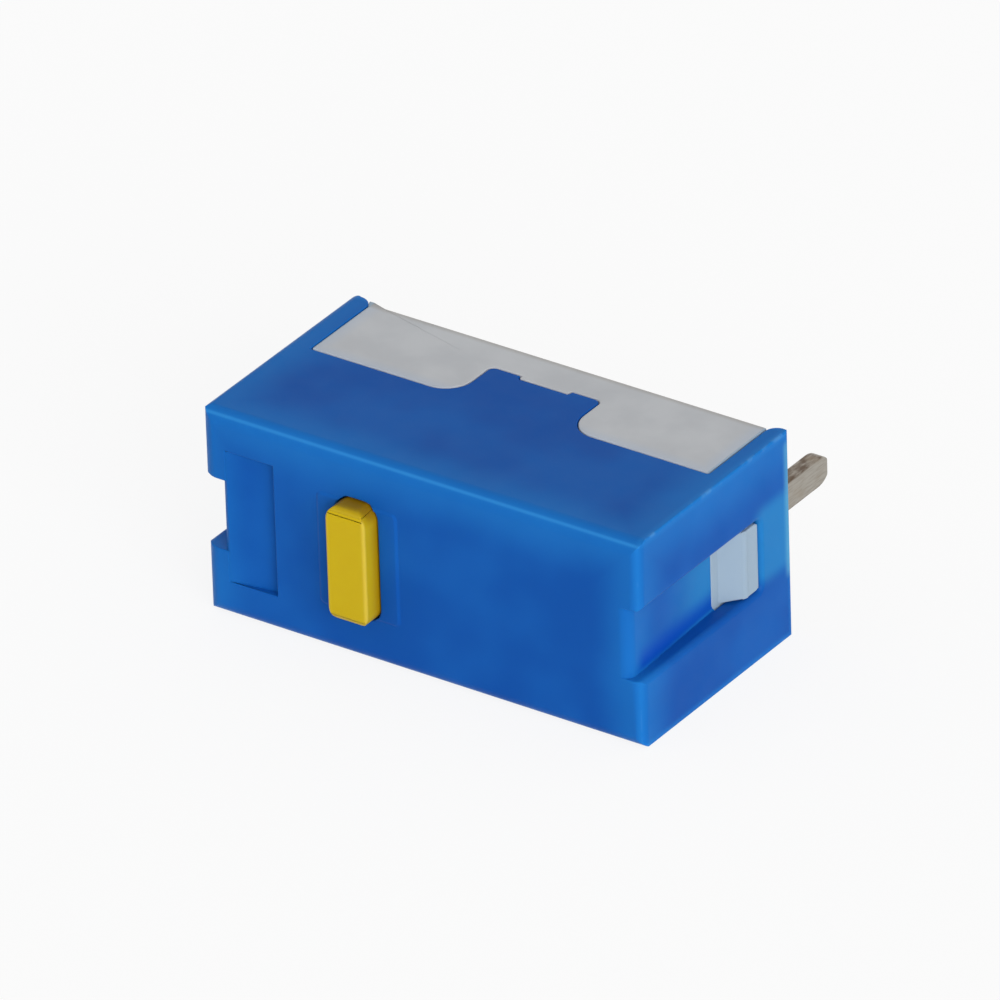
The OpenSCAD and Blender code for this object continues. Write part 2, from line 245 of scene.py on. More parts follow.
def oblong(w: float, l: float, steps: int = 24) -> np.ndarray:
    """Outline of an oblong with full round ends, w wide and l long: a half circle at each end.

    Args:
        w: Width.
        l: Length.
        steps: Segments in each end.

    Returns:
        Outline points, one row each.
    """
    angle = np.linspace(0, np.pi, steps + 1)
    end = np.stack([np.cos(angle), np.sin(angle)], axis=1) * w / 2 + [0, (l - w) / 2]
    return np.concatenate([end, -end])


def outward(outline: np.ndarray) -> np.ndarray:
    """Mitre of each point of an anticlockwise outline: the two sides' outward normals added and scaled
    so that a step of 1 along it moves both sides out by 1.

    Args:
        outline: Closed anticlockwise outline, one row a point.

    Returns:
        One row for each point.
    """
    back = unit(outline - np.roll(outline, 1, axis=0))
    ahead = np.roll(back, -1, axis=0)
    a = np.stack([back[:, 1], -back[:, 0]], axis=1)
    b = np.stack([ahead[:, 1], -ahead[:, 0]], axis=1)
    return (a + b) / (1 + (a * b).sum(1, keepdims=True))


def anticlockwise(outline: np.ndarray) -> np.ndarray:
    """The outline in anticlockwise order: the sign of its shoelace area tells which way it runs.

    Args:
        outline: Closed outline.

    Returns:
        The same outline, or its points in reverse.
    """
    nxt = np.roll(outline, -1, axis=0)
    area = (outline[:, 0] * nxt[:, 1] - outline[:, 1] * nxt[:, 0]).sum()
    return outline if area > 0 else outline[::-1]


def lay_out(flat: np.ndarray, height: np.ndarray, axis: Axis) -> np.ndarray:
    """Points in the switch's frame from their two outline coordinates and their place along the axis.

    Args:
        flat: Outline coordinates, with the two of a point last.
        height: Place along the axis of each point.
        axis: Way that the outline is carried.

    Returns:
        x, y and z of each point, last.
    """
    across, up = flat[..., 0], flat[..., 1]
    order = {Axis.X: (height, across, up), Axis.Y: (across, height, up), Axis.Z: (across, up, height)}
    return np.stack(order[axis], axis=-1)


def ring_faces(rings: int, around: int, closed: bool) -> list[list[int]]:
    """Quads between neighbouring rings of points on a grid; closed joins the last ring to the first.

    Args:
        rings: Number of rings.
        around: Points in each ring.
        closed: Whether the last ring is joined to the first.

    Returns:
        Four point numbers for each quad.
    """
    ring = np.arange(rings if closed else rings - 1)[:, None]
    spot = np.arange(around)[None, :]
    nxt, up = (spot + 1) % around, (ring + 1) % rings
    quad = np.stack([ring * around + spot, ring * around + nxt, up * around + nxt, up * around + spot], -1)
    return quad.reshape(-1, 4).tolist()


def to_mesh(name: str, points: np.ndarray, faces: list[list[int]]) -> bpy.types.Mesh:
    """Mesh of points and faces, closed at its seams, with every face pointing outwards.

    Args:
        name: Mesh's name.
        points: x, y and z of each point, last.
        faces: Point numbers of each face.

    Returns:
        The mesh.
    """
    mesh = bpy.data.meshes.new(name)
    mesh.from_pydata(points.reshape(-1, 3).tolist(), [], faces)
    work = bmesh.new()
    work.from_mesh(mesh)
    bmesh.ops.remove_doubles(work, verts=work.verts, dist=1e-5)
    bmesh.ops.recalc_face_normals(work, faces=work.faces)
    work.to_mesh(mesh)
    work.free()
    return mesh


def stacked(name: str, outline: np.ndarray, moves: np.ndarray, places: np.ndarray, axis: Axis,
            shift: tuple[float, float] = (0.0, 0.0)) -> bpy.types.Mesh:
    """Rings of points one above another, closed by a flat face at each end.

    Each ring is the outline moved out along its mitres by the ring's own move, at the ring's own place
    along the axis.

    Args:
        name: Mesh's name.
        outline: Closed anticlockwise outline in the axis's two coordinates.
        moves: How far out each ring is moved.
        places: Where each ring lies along the axis.
        axis: Way that the rings are stacked.
        shift: Added to both coordinates of the outline.

    Returns:
        Closed mesh in millimetres.
    """
    flat = outline[None] + moves[:, None, None] * outward(outline)[None] + shift
    points = lay_out(flat, np.broadcast_to(places[:, None], flat.shape[:2]), axis)
    rings, around = points.shape[:2]
    faces = ring_faces(rings, around, False)
    faces += [list(range(around)), list(range((rings - 1) * around, rings * around))]
    return to_mesh(name, points, faces)


def prism(outline: np.ndarray, axis: Axis, low: float, high: float,
          rims: tuple[float, float] = (0.0, 0.0)) -> bpy.types.Mesh:
    """Outline carried along an axis, with its two rims rounded.

    Each ring is the outline moved in along its mitres. Over a rim the move and the height follow a
    quarter circle, and between the rims the wall is straight.

    Args:
        outline: Closed outline in the axis's two coordinates.
        axis: Way it is carried.
        low: Place of the first face.
        high: Place of the last face.
        rims: Radius of the rim at the first and at the last face.

    Returns:
        Closed mesh in millimetres.
    """
    turn = np.linspace(0, np.pi / 2, RIM_STEPS + 1)
    start = turn if rims[0] else turn[-1:]
    end = turn[::-1] if rims[1] else turn[-1:]
    inset = np.concatenate([rims[0] * (1 - np.sin(start)), rims[1] * (1 - np.sin(end))])
    height = np.concatenate([low + rims[0] * (1 - np.cos(start)), high - rims[1] * (1 - np.cos(end))])
    if not rims[0]:
        height[0] = low
    if not rims[1]:
        height[-1] = high
    return stacked("prism", anticlockwise(outline), -inset, height, axis)


def lathe(profile: np.ndarray, centre_x: float, around: int = 64) -> bpy.types.Mesh:
    """Profile of (radius, depth) turned about the line x = centre_x that runs along y.

    Every ring is a circle whose radius and depth are the profile's, so the point at angle a is
    (centre + r cos a, depth, r sin a). A profile that starts and ends on the line gives a closed mesh.

    Args:
        profile: Radius and depth of each point.
        centre_x: Place of the line.
        around: Segments round it.

    Returns:
        Closed mesh in millimetres.
    """
    angle = np.linspace(0, 2 * np.pi, around, endpoint=False)
    r, depth = np.maximum(profile[:, :1], 0), np.broadcast_to(profile[:, 1:], (len(profile), around))
    points = np.stack([centre_x + r * np.cos(angle), depth, r * np.sin(angle)], axis=-1)
    return to_mesh("turned", points, ring_faces(len(profile), around, False))


def sweep(path: np.ndarray, profile: np.ndarray, centre_x: float) -> bpy.types.Mesh:
    """Closed profile of (distance out, depth) carried round a closed path in x and z: each point is the
    path's point plus the profile's distance along the path's own mitre, at the profile's depth.

    Args:
        path: Closed path in x and z.
        profile: Distance out and depth of each point.
        centre_x: Added to x.

    Returns:
        Closed mesh in millimetres.
    """
    path = anticlockwise(path)
    flat = path[None] + profile[:, :1, None] * outward(path)[None] + [centre_x, 0]
    points = lay_out(flat, np.broadcast_to(profile[:, 1:], flat.shape[:2]), Axis.Y)
    return to_mesh("swept", points, ring_faces(len(profile), len(path), True))


# ---- Solids put together ----


def evaluated(mesh: bpy.types.Mesh, kind: str, **settings: object) -> bpy.types.Mesh:
    """The mesh after one modifier of that kind with those settings.

    Args:
        mesh: Mesh before it.
        kind: Modifier's kind.
        settings: Values of the modifier's own settings.

    Returns:
        A new mesh.
    """
    holder = bpy.data.objects.new("work", mesh)
    bpy.context.scene.collection.objects.link(holder)
    modifier = holder.modifiers.new(kind, kind)
    for key, value in settings.items():
        setattr(modifier, key, value)
    shown = holder.evaluated_get(bpy.context.evaluated_depsgraph_get())
    result = bpy.data.meshes.new_from_object(shown)
    bpy.data.objects.remove(holder)
    return result


def joined(mesh: bpy.types.Mesh, how: Join, *tools: bpy.types.Mesh) -> bpy.types.Mesh:
    """The mesh after each tool is added to it, cut from it or met with it, in turn.

    Args:
        mesh: Closed mesh.
        how: What each tool does to it.
        tools: Closed meshes.

    Returns:
        A new closed mesh.
    """
    for tool in tools:
        other = bpy.data.objects.new("tool", tool)
        bpy.context.scene.collection.objects.link(other)
        mesh = evaluated(mesh, "BOOLEAN", operation=how.value, object=other, solver="MANIFOLD")
        bpy.data.objects.remove(other)
    return mesh


def mirrored(mesh: bpy.types.Mesh, x: float = -1, z: float = 1) -> bpy.types.Mesh:
    """A copy of the mesh turned over in x or z, with its faces pointing outwards again.

    Args:
        mesh: Mesh to copy.
        x: -1 to turn it over in x.
        z: -1 to turn it over in z.

    Returns:
        The copy.
    """
    copy = mesh.copy()
    copy.transform(Matrix.Diagonal((x, 1, z, 1)))
    if x * z < 0:
        copy.flip_normals()
    return copy


def outer_edges(mesh: bpy.types.Mesh, limit: float, flat: float) -> np.ndarray:
    """Share of rounding of each edge: 1 where two faces meet outwards at more than limit degrees and at
    least one of them is a broad flat face, so that the crease between two rounded edges stays as it is.

    With d the edge's way round one face, whose normal is n, and m the other face's normal, the edge
    points outwards where n x m runs along d, and the faces' angle has n . m for its cosine.

    Args:
        mesh: Closed mesh in which each edge has two faces.
        limit: Angle in degrees below which an edge stays as it is.
        flat: Least area of a broad face.

    Returns:
        One number for each edge.
    """
    corners, faces = len(mesh.loops), len(mesh.polygons)
    edge, point, total = np.empty(corners, int), np.empty(corners, int), np.empty(faces, int)
    normal, at, area = np.empty(faces * 3), np.empty(len(mesh.vertices) * 3), np.empty(faces)
    mesh.polygons.foreach_get("area", area)
    mesh.loops.foreach_get("edge_index", edge)
    mesh.loops.foreach_get("vertex_index", point)
    mesh.polygons.foreach_get("loop_total", total)
    mesh.polygons.foreach_get("normal", normal)
    mesh.vertices.foreach_get("co", at)
    last = np.cumsum(total) - 1
    after = np.arange(1, corners + 1)
    after[last] = last - total + 1
    at, face = at.reshape(-1, 3), np.repeat(np.arange(faces), total)
    first, second = np.argsort(edge, kind="stable").reshape(-1, 2).T
    way = at[point[after[first]]] - at[point[first]]
    n, m = normal.reshape(-1, 3)[face[first]], normal.reshape(-1, 3)[face[second]]
    outwards = (np.cross(n, m) * way).sum(1) > 0
    broad = np.maximum(area[face[first]], area[face[second]]) >= flat
    return (outwards & broad & ((n * m).sum(1) < math.cos(math.radians(limit)))).astype(float)


def softened(mesh: bpy.types.Mesh, width: float, segments: int = 5, limit: float = 32,
             flat: float = 0.0) -> bpy.types.Mesh:
    """The mesh with its flat faces made whole and each outward edge sharper than limit degrees rounded.

    Args:
        mesh: Closed mesh.
        width: Width of the rounding.
        segments: Segments in the rounding.
        limit: Least angle in degrees of an edge that is rounded.
        flat: Least area of the broad face beside such an edge.

    Returns:
        The rounded mesh, shaded so that flat faces stay flat.
    """
    work = bmesh.new()
    work.from_mesh(mesh)
    bmesh.ops.remove_doubles(work, verts=work.verts, dist=1e-4)
    bmesh.ops.dissolve_limit(work, angle_limit=math.radians(0.2), verts=work.verts, edges=work.edges)
    work.to_mesh(mesh)
    work.free()
    share = mesh.attributes.new("bevel_weight_edge", "FLOAT", "EDGE")
    share.data.foreach_set("value", outer_edges(mesh, limit, flat))
    mesh = evaluated(mesh, "BEVEL", width=width, segments=segments, limit_method="WEIGHT",
                     use_clamp_overlap=False, miter_outer="MITER_ARC")
    work = bmesh.new()
    work.from_mesh(mesh)
    bmesh.ops.dissolve_degenerate(work, dist=2e-5, edges=work.edges)
    bmesh.ops.delete(work, geom=[edge for edge in work.edges if not edge.link_faces], context="EDGES")
    work.to_mesh(mesh)
    work.free()
    shade(mesh, 90 / segments + 2)
    return mesh


def shade(mesh: bpy.types.Mesh, limit: float) -> None:
    """Sets a normal at each corner of each face: the mean of the faces round that point which turn less
    than limit degrees from this one, each weighted by its area, so flat faces stay flat.

    Args:
        mesh: Mesh that is shaded.
        limit: Angle in degrees.
    """
    corners, faces = len(mesh.loops), len(mesh.polygons)
    point, owner = np.empty(corners, np.int64), np.empty(faces, np.int64)
    area, normal = np.empty(faces), np.empty(faces * 3)
    mesh.loops.foreach_get("vertex_index", point)
    mesh.polygons.foreach_get("loop_total", owner)
    mesh.polygons.foreach_get("area", area)
    mesh.polygons.foreach_get("normal", normal)
    normal = normal.reshape(-1, 3)
    face = np.repeat(np.arange(faces), owner)
    order = np.argsort(point, kind="stable")
    count = np.bincount(point, minlength=len(mesh.vertices))
    first = np.cumsum(count) - count
    own = np.repeat(np.arange(corners), count[point])
    step = np.arange(len(own)) - np.repeat(np.cumsum(count[point]) - count[point], count[point])
    other = order[np.repeat(first[point], count[point]) + step]
    near = (normal[face[own]] * normal[face[other]]).sum(1) > math.cos(math.radians(limit))
    weight = (area[face[other]] + 1e-9) * near
    total = np.stack([np.bincount(own, weight * normal[face[other], k], corners) for k in range(3)], axis=1)
    mesh.polygons.foreach_set("use_smooth", np.ones(faces, dtype=bool))
    mesh.normals_split_custom_set(unit(total).tolist())


def place(name: str, mesh: bpy.types.Mesh, body: Body | None, node: str,
          material: bpy.types.Material) -> bpy.types.Object:
    """Puts a finished mesh into the row frame in metres, hangs it on its body, hides the CAD node that it
    stands for and gives it its material.

    Args:
        name: Piece's name.
        mesh: Closed mesh in millimetres in the switch's frame.
        body: Body that it rides on, or None.
        node: CAD node that it stands for.
        material: Its material.

    Returns:
        The piece's object, at the origin.
    """
    mesh.name = name
    middle = Matrix.Translation((SIZES.end_shift, SIZES.front_y, SIZES.half_w))
    normals = np.empty(len(mesh.loops) * 3)
    mesh.corner_normals.foreach_get("vector", normals)
    mesh.transform(Matrix.Scale(MM, 4) @ middle)
    if mesh.has_custom_normals:
        mesh.normals_split_custom_set(normals.reshape(-1, 3).tolist())
    mesh.materials.clear()
    mesh.materials.append(material)
    mesh.polygons.foreach_set("material_index", np.zeros(len(mesh.polygons), dtype=np.int32))
    mesh.update()
    piece = bpy.data.objects.new(name, mesh)
    bpy.context.scene.collection.objects.link(piece)
    if body:
        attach(piece, body.value)
    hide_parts(node)
    log.info("%s: %d faces, rides on %s", name, len(mesh.polygons), body.value if body else "two bodies")
    return piece


# ---- Finishes ----

Socket = bpy.types.NodeSocket
Value = float | bpy.types.NodeSocket
Colour = tuple[float, float, float]
RELIEF_STRENGTH = 0.5


@dataclass(frozen=True)
class Band:
    """How a tint comes in along some measure: none of it at start, and share of it at end."""

    start: float
    end: float
    share: float = 1.0


@dataclass(frozen=True)
class Grain:
    """Fine surface of a finish.

    Its roughness varies by spread below and above, after a noise of patches cells to the millimetre, and
    each relief is a noise of (cells to the millimetre, detail) with a depth in millimetres.
    """

    rough: float
    spread: tuple[float, float]
    patches: tuple[float, float]
    reliefs: tuple[tuple[float, float, float], ...]


class Shader:
    """A material's nodes while it is being drawn up."""

    def __init__(self, name: str) -> None:
        """Starts a material with only its output, its shader and places in the switch's millimetres.

        Args:
            name: Material's name.
        """
        self.material = bpy.data.materials.new(name)
        self.material.use_nodes = True
        self.tree = self.material.node_tree
        self.tree.nodes.clear()
        self.shader = self.node("ShaderNodeBsdfPrincipled")
        output = self.node("ShaderNodeOutputMaterial")
        self.tree.links.new(self.shader.outputs["BSDF"], output.inputs["Surface"])
        mapping = self.node("ShaderNodeMapping")
        mapping.inputs["Scale"].default_value = (1 / MM,) * 3
        mapping.inputs["Location"].default_value = (-SIZES.end_shift, -SIZES.front_y, -SIZES.half_w)
        self.tree.links.new(self.node("ShaderNodeTexCoord").outputs["Object"], mapping.inputs["Vector"])
        self.place = mapping.outputs["Vector"]
        split = self.node("ShaderNodeSeparateXYZ")
        self.tree.links.new(self.place, split.inputs["Vector"])
        self.x, self.y, self.z = split.outputs

    def node(self, kind: str) -> bpy.types.Node:
        """A new node of that kind."""
        return self.tree.nodes.new(kind)

    def feed(self, target: Socket, value: Value | Colour) -> None:
        """Links a socket to another, or sets its own number or colour.

        Args:
            target: Socket that takes the value.
            value: Socket, number or colour.
        """
        if isinstance(value, bpy.types.NodeSocket):
            self.tree.links.new(value, target)
        elif isinstance(value, tuple) and len(value) == 3 and target.type == "RGBA":
            target.default_value = (*value, 1.0)
        else:
            target.default_value = value

    def put(self, **values: Value | Colour) -> None:
        """Sets or links inputs of the shader.

        Args:
            values: Value of each input, named in lower case with low lines for spaces.
        """
        names = {s.name.lower().replace(" ", "_"): s for s in self.shader.inputs}
        for name, value in values.items():
            self.feed(names[name], value)

    def math(self, operation: str, a: Value, b: Value = 0.0) -> Socket:
        """One sum of two values.

        Args:
            operation: Kind of sum.
            a: First value.
            b: Second value.

        Returns:
            The result.
        """
        node = self.node("ShaderNodeMath")
        node.operation = operation
        self.feed(node.inputs[0], a)
        self.feed(node.inputs[1], b)
        return node.outputs[0]

    def size(self, value: Value) -> Socket:
        """The value without its sign."""
        return self.math("ABSOLUTE", value)

    def times(self, first: Value, *others: Value) -> Socket:
        """All the values multiplied together."""
        for other in others:
            first = self.math("MULTIPLY", first, other)
        return first

    def fade(self, value: Value, start: float, end: float, low: float = 0.0, high: float = 1.0) -> Socket:
        """Smooth step from low to high.

        Args:
            value: What it follows.
            start: Value at which it is low.
            end: Value at which it is high.
            low: First result.
            high: Last result.

        Returns:
            The result, which stays at low and at high outside start and end.
        """
        node = self.node("ShaderNodeMapRange")
        node.interpolation_type = "SMOOTHSTEP"
        self.feed(node.inputs["Value"], value)
        flip = start > end
        span = (end, start, high, low) if flip else (start, end, low, high)
        for key, number in zip(("From Min", "From Max", "To Min", "To Max"), span):
            node.inputs[key].default_value = number
        return node.outputs["Result"]

    def band(self, value: Value, band: Band) -> Socket:
        """How much of a tint the value gives by its band."""
        return self.fade(value, band.start, band.end, 0.0, band.share)

    def inside(self, value: Value, low: float, high: float, soft: float) -> Socket:
        """1 between low and high, fading to 0 over soft outside them."""
        return self.times(self.fade(value, low - soft, low), self.fade(value, high + soft, high))

    def noise(self, scale: float, detail: float = 3.0, stretch: Colour = (1, 1, 1)) -> Socket:
        """Noise in the switch's millimetres.

        Args:
            scale: Cells to the millimetre.
            detail: Octaves.
            stretch: Factor on the cells along each axis.

        Returns:
            The noise, from 0 to 1.
        """
        mapping = self.node("ShaderNodeMapping")
        mapping.inputs["Scale"].default_value = stretch
        self.feed(mapping.inputs["Vector"], self.place)
        node = self.node("ShaderNodeTexNoise")
        self.feed(node.inputs["Vector"], mapping.outputs["Vector"])
        node.inputs["Scale"].default_value = scale
        node.inputs["Detail"].default_value = detail
        return node.outputs["Fac"]

    def mix(self, factor: Value, a: Value | Colour, b: Value | Colour) -> Socket:
        """One colour turned into another.

        Args:
            factor: How far, from 0 to 1.
            a: First colour.
            b: Last colour.

        Returns:
            The mixed colour.
        """
        node = self.node("ShaderNodeMix")
        node.data_type = "RGBA"
        self.feed(node.inputs[0], factor)
        self.feed(node.inputs[6], a)
        self.feed(node.inputs[7], b)
        return node.outputs[2]

    def bump(self, height: Value, depth: float) -> None:
        """Adds a relief to the shader's normal, on top of those it has.

        Args:
            height: Relief, from 0 to 1.
            depth: Its depth in millimetres.
        """
        node = self.node("ShaderNodeBump")
        node.inputs["Strength"].default_value = RELIEF_STRENGTH
        node.inputs["Distance"].default_value = depth * MM
        self.feed(node.inputs["Height"], height)
        if self.shader.inputs["Normal"].is_linked:
            self.tree.links.new(self.shader.inputs["Normal"].links[0].from_socket, node.inputs["Normal"])
        self.tree.links.new(node.outputs["Normal"], self.shader.inputs["Normal"])

    def vary(self, noise: Value, rough: float, spread: tuple[float, float]) -> None:
        """Roughness that follows a noise between rough - spread[0] and rough + spread[1]."""
        self.put(roughness=self.fade(noise, 0.2, 0.8, rough - spread[0], rough + spread[1]))

    def surface(self, grain: Grain) -> None:
        """Gives the shader a grain's roughness and reliefs."""
        self.vary(self.noise(*grain.patches), grain.rough, grain.spread)
        for scale, detail, depth in grain.reliefs:
            self.bump(self.noise(scale, detail), depth)

    def to_edge(self, low: Colour, high: Colour) -> Socket:
        """Distance along a box's face to its nearest edge: the second smallest of the three distances
        to the box's faces, because the smallest is the face that the point lies on.

        Args:
            low: Lowest corner of the box.
            high: Highest corner of the box.

        Returns:
            The distance in millimetres.
        """
        near = []
        for value, a, b in zip((self.x, self.y, self.z), low, high):
            past_low, past_high = self.math("SUBTRACT", value, a), self.math("SUBTRACT", b, value)
            near.append(self.math("MINIMUM", past_low, past_high))
        a, b, c = near
        pair = self.math("MINIMUM", self.math("MAXIMUM", a, b), c)
        return self.math("MAXIMUM", self.math("MINIMUM", a, b), pair)


@dataclass(frozen=True)
class CoverBlue:
    """Clear-tinted blue plastic with painted light: paler where the wall is thin and along its edges,
    painted glow in its channels and straps, painted highlights on its crest and strap rims and painted shade
    along its channels; with light scuffs of wear on its edges.
    """

    body: Colour = (0.006, 0.097, 0.390)
    deep: Colour = (0.004, 0.076, 0.345)
    # painted light: paler tint for light through thin walls and along the edges (also the plunger's painted
    # rim highlight)
    painted_light: Colour = (0.012, 0.178, 0.53)
    # painted glow: light through the channel floors and the straps
    painted_glow: Colour = (0.022, 0.235, 0.52)
    # painted highlight along the front-top crest
    painted_crest_highlight: Colour = (0.030, 0.240, 0.60)
    # painted highlight in the rounded tips of the straps
    painted_rim_highlight: Colour = (0.120, 0.400, 0.58)
    # painted shade along the lower side of each channel
    shade: Colour = (0.0005, 0.050, 0.400)
    scuff: Colour = (0.08, 0.26, 0.56)
    clouds: Band = Band(0.35, 0.65)
    # band of the painted light through thin walls
    thin_wall_light: Band = Band(1.5, 0.2, 0.5)
    thin_reach: float = 1.2
    # band of the painted light along the edges
    edges: Band = Band(0.24, 0.05, 0.6)
    # band of the painted highlight on the front-top crest
    front_top_highlight: Band = Band(0.17, 0.12, 0.7)
    painted_glow_share: float = 0.62
    painted_shade_share: float = 0.8
    painted_highlight_share: float = 0.5
    worn_edge: Band = Band(0.12, 0.02)
    worn_patches: Band = Band(0.5, 0.68, 0.55)
    grain: Grain = Grain(0.38, (0.05, 0.07), (1.6, 4), ((0.9, 1, 0.006), (22, 2, 0.0012)))

    def painted_floor_glow(self, s: Shader) -> Socket:
        """Share of painted glow, for light that comes through the floor of a channel, more towards its slot.

        Args:
            s: Cover's shader.

        Returns:
            The share, which fades over 0.05 at the channel's sides and from 1.4 to 3.5 deep.
        """
        floor = s.inside(s.size(s.x), SIZES.strap_x - 0.3, SIZES.strap_x + 0.18, 0.04)
        across = s.inside(s.size(s.z), 0, SIZES.channel_w / 2 - 0.05, 0.05)
        return s.times(floor, across, s.fade(s.y, 1.4, 3.5), self.painted_glow_share)

    def painted_channel_shade(self, s: Shader) -> Socket:
        """Share of painted shade, a deeper blue along the lower side of a channel, where two walls meet.

        Args:
            s: Cover's shader.

        Returns:
            The share, which fades out 0.8 above the lower wall and at both ends of the skirt.
        """
        low = -SIZES.channel_w / 2
        up = s.times(s.fade(s.z, low - 0.02, low + 0.14), s.fade(s.z, low + 0.8, low + 0.2))
        out = s.inside(s.size(s.x), SIZES.strap_x - 0.3, SIZES.half_len - 0.3, 0.12)
        return s.times(up, out, s.inside(s.y, 0.7, SIZES.skirt_depth, 0.5), self.painted_shade_share)

    def painted_strap_glow(self, s: Shader, out: Socket) -> Socket:
        """Share of painted glow, for light that comes through the strap behind its slot.

        Args:
            s: Cover's shader.
            out: Distance from the cover's middle.

        Returns:
            The share, on the outer face of the strap and half a millimetre round it.
        """
        face = s.inside(out, SIZES.half_len - 0.14, SIZES.half_len + 1, 0.1)
        behind = s.fade(s.y, SIZES.slot_depth - 0.5, SIZES.slot_depth + 0.2)
        return s.times(face, behind, s.inside(s.z, -0.55, 1.0, 0.5), self.painted_glow_share)

    def painted_strap_rim_highlight(self, s: Shader, out: Socket) -> Socket:
        """Share of painted highlight, for light that gathers in the rounded tip of a strap.

        Args:
            s: Cover's shader.
            out: Distance from the cover's middle.

        Returns:
            The share, over the last 0.3 mm of the strap.
        """
        tip = s.fade(s.y, SIZES.seat_depth - 0.34, SIZES.seat_depth - 0.12)
        face = s.fade(out, SIZES.half_len - 0.2, SIZES.half_len - 0.1)
        return s.times(tip, s.inside(s.z, -0.95, 2.4, 0.3), face, self.painted_highlight_share)

    def material(self) -> bpy.types.Material:
        """Draws up the finish.

        Returns:
            The material.
        """
        s = Shader("cover_blue")
        half_w, ends, more = SIZES.half_w, SIZES.ends, self.thin_reach
        edge = s.to_edge((-ends[0], 0, -half_w), (ends[1], SIZES.seat_depth, half_w))
        wall = s.to_edge((-ends[0], 0, -half_w - more), (ends[1], SIZES.seat_depth + more, half_w))
        tone = s.mix(s.band(s.noise(0.35, 2), self.clouds), self.body, self.deep)
        # painted light: paler through thin walls and along the edges
        tone = s.mix(s.band(wall, self.thin_wall_light), tone, self.painted_light)
        tone = s.mix(s.band(edge, self.edges), tone, self.painted_light)
        # painted highlight along the front-top crest
        from_crest = s.math("MAXIMUM", s.size(s.y), s.math("SUBTRACT", half_w, s.z))
        tone = s.mix(s.band(from_crest, self.front_top_highlight), tone, self.painted_crest_highlight)
        # painted glow in the channel floors
        tone = s.mix(self.painted_floor_glow(s), tone, self.painted_glow)
        # painted shade on the channels' lower sides
        tone = s.mix(self.painted_channel_shade(s), tone, self.shade)
        out = s.size(s.math("ADD", s.x, SIZES.end_shift))
        # painted glow through the straps
        tone = s.mix(self.painted_strap_glow(s, out), tone, self.painted_glow)
        # painted highlight in the strap rims
        tone = s.mix(self.painted_strap_rim_highlight(s, out), tone, self.painted_rim_highlight)
        worn = s.times(s.band(edge, self.worn_edge), s.band(s.noise(2.2, 4), self.worn_patches))
        s.put(base_color=s.mix(worn, tone, self.scuff), ior=1.49, specular_ior_level=0.055,
              subsurface_weight=0.12, subsurface_radius=(0.2, 0.6, 1.0), subsurface_scale=0.35 * MM)
        s.surface(self.grain)
        return s.material


@dataclass(frozen=True)
class BaseMilky:
    """Milky natural plastic, with painted blue light where it meets the cover, painted bluish shade on its
    lugs in the cover's slots, and warmer along the rims of its back.
    """

    body: Colour = (0.520, 0.535, 0.555)
    cloud: Colour = (0.44, 0.455, 0.48)
    # painted blue light from the cover
    painted_blue_light: Colour = (0.40, 0.475, 0.59)
    # painted bluish shade on the lugs inside the cover's slots
    lug: Colour = (0.285, 0.375, 0.465)
    warm: Colour = (0.33, 0.31, 0.285)
    clouds: Band = Band(0.3, 0.7, 0.6)
    blue_light_share: float = 0.5
    back_depth: float = 0.22
    back_share: float = 0.7
    grain: Grain = Grain(0.4, (0.05, 0.08), (2.0, 4), ((1.1, 1, 0.006), (20, 2, 0.0015)))

    def material(self) -> bpy.types.Material:
        """Draws up the finish.

        Returns:
            The material.
        """
        s, d = Shader("base_milky"), SIZES
        tone = s.mix(s.band(s.noise(0.8, 3), self.clouds), self.body, self.cloud)
        across = s.size(s.x)
        # painted blue light from the cover, near the base's ends and skirts
        near_end = s.fade(across, d.base_x - 0.5, d.base_x)
        near_skirt = s.fade(s.y, d.skirt_depth + 0.45, d.skirt_depth)
        tone = s.mix(s.times(s.math("MAXIMUM", near_end, near_skirt), self.blue_light_share), tone, self.painted_blue_light)
        back = s.fade(s.y, d.case_depth - self.back_depth, d.case_depth, 0.0, self.back_share)
        rim = s.fade(s.size(s.z), d.half_w - 0.4, d.half_w - 0.1)
        tone = s.mix(s.times(back, rim), tone, self.warm)
        # painted bluish shade on the lugs and the base's end edge beside them
        tone = s.mix(s.fade(across, d.base_x - 0.07, d.base_x - 0.01), tone, self.lug)
        s.put(base_color=tone, ior=1.5, specular_ior_level=0.15, subsurface_weight=0.25,
              subsurface_radius=(1.0, 0.95, 0.9), subsurface_scale=0.4 * MM)
        s.surface(self.grain)
        return s.material


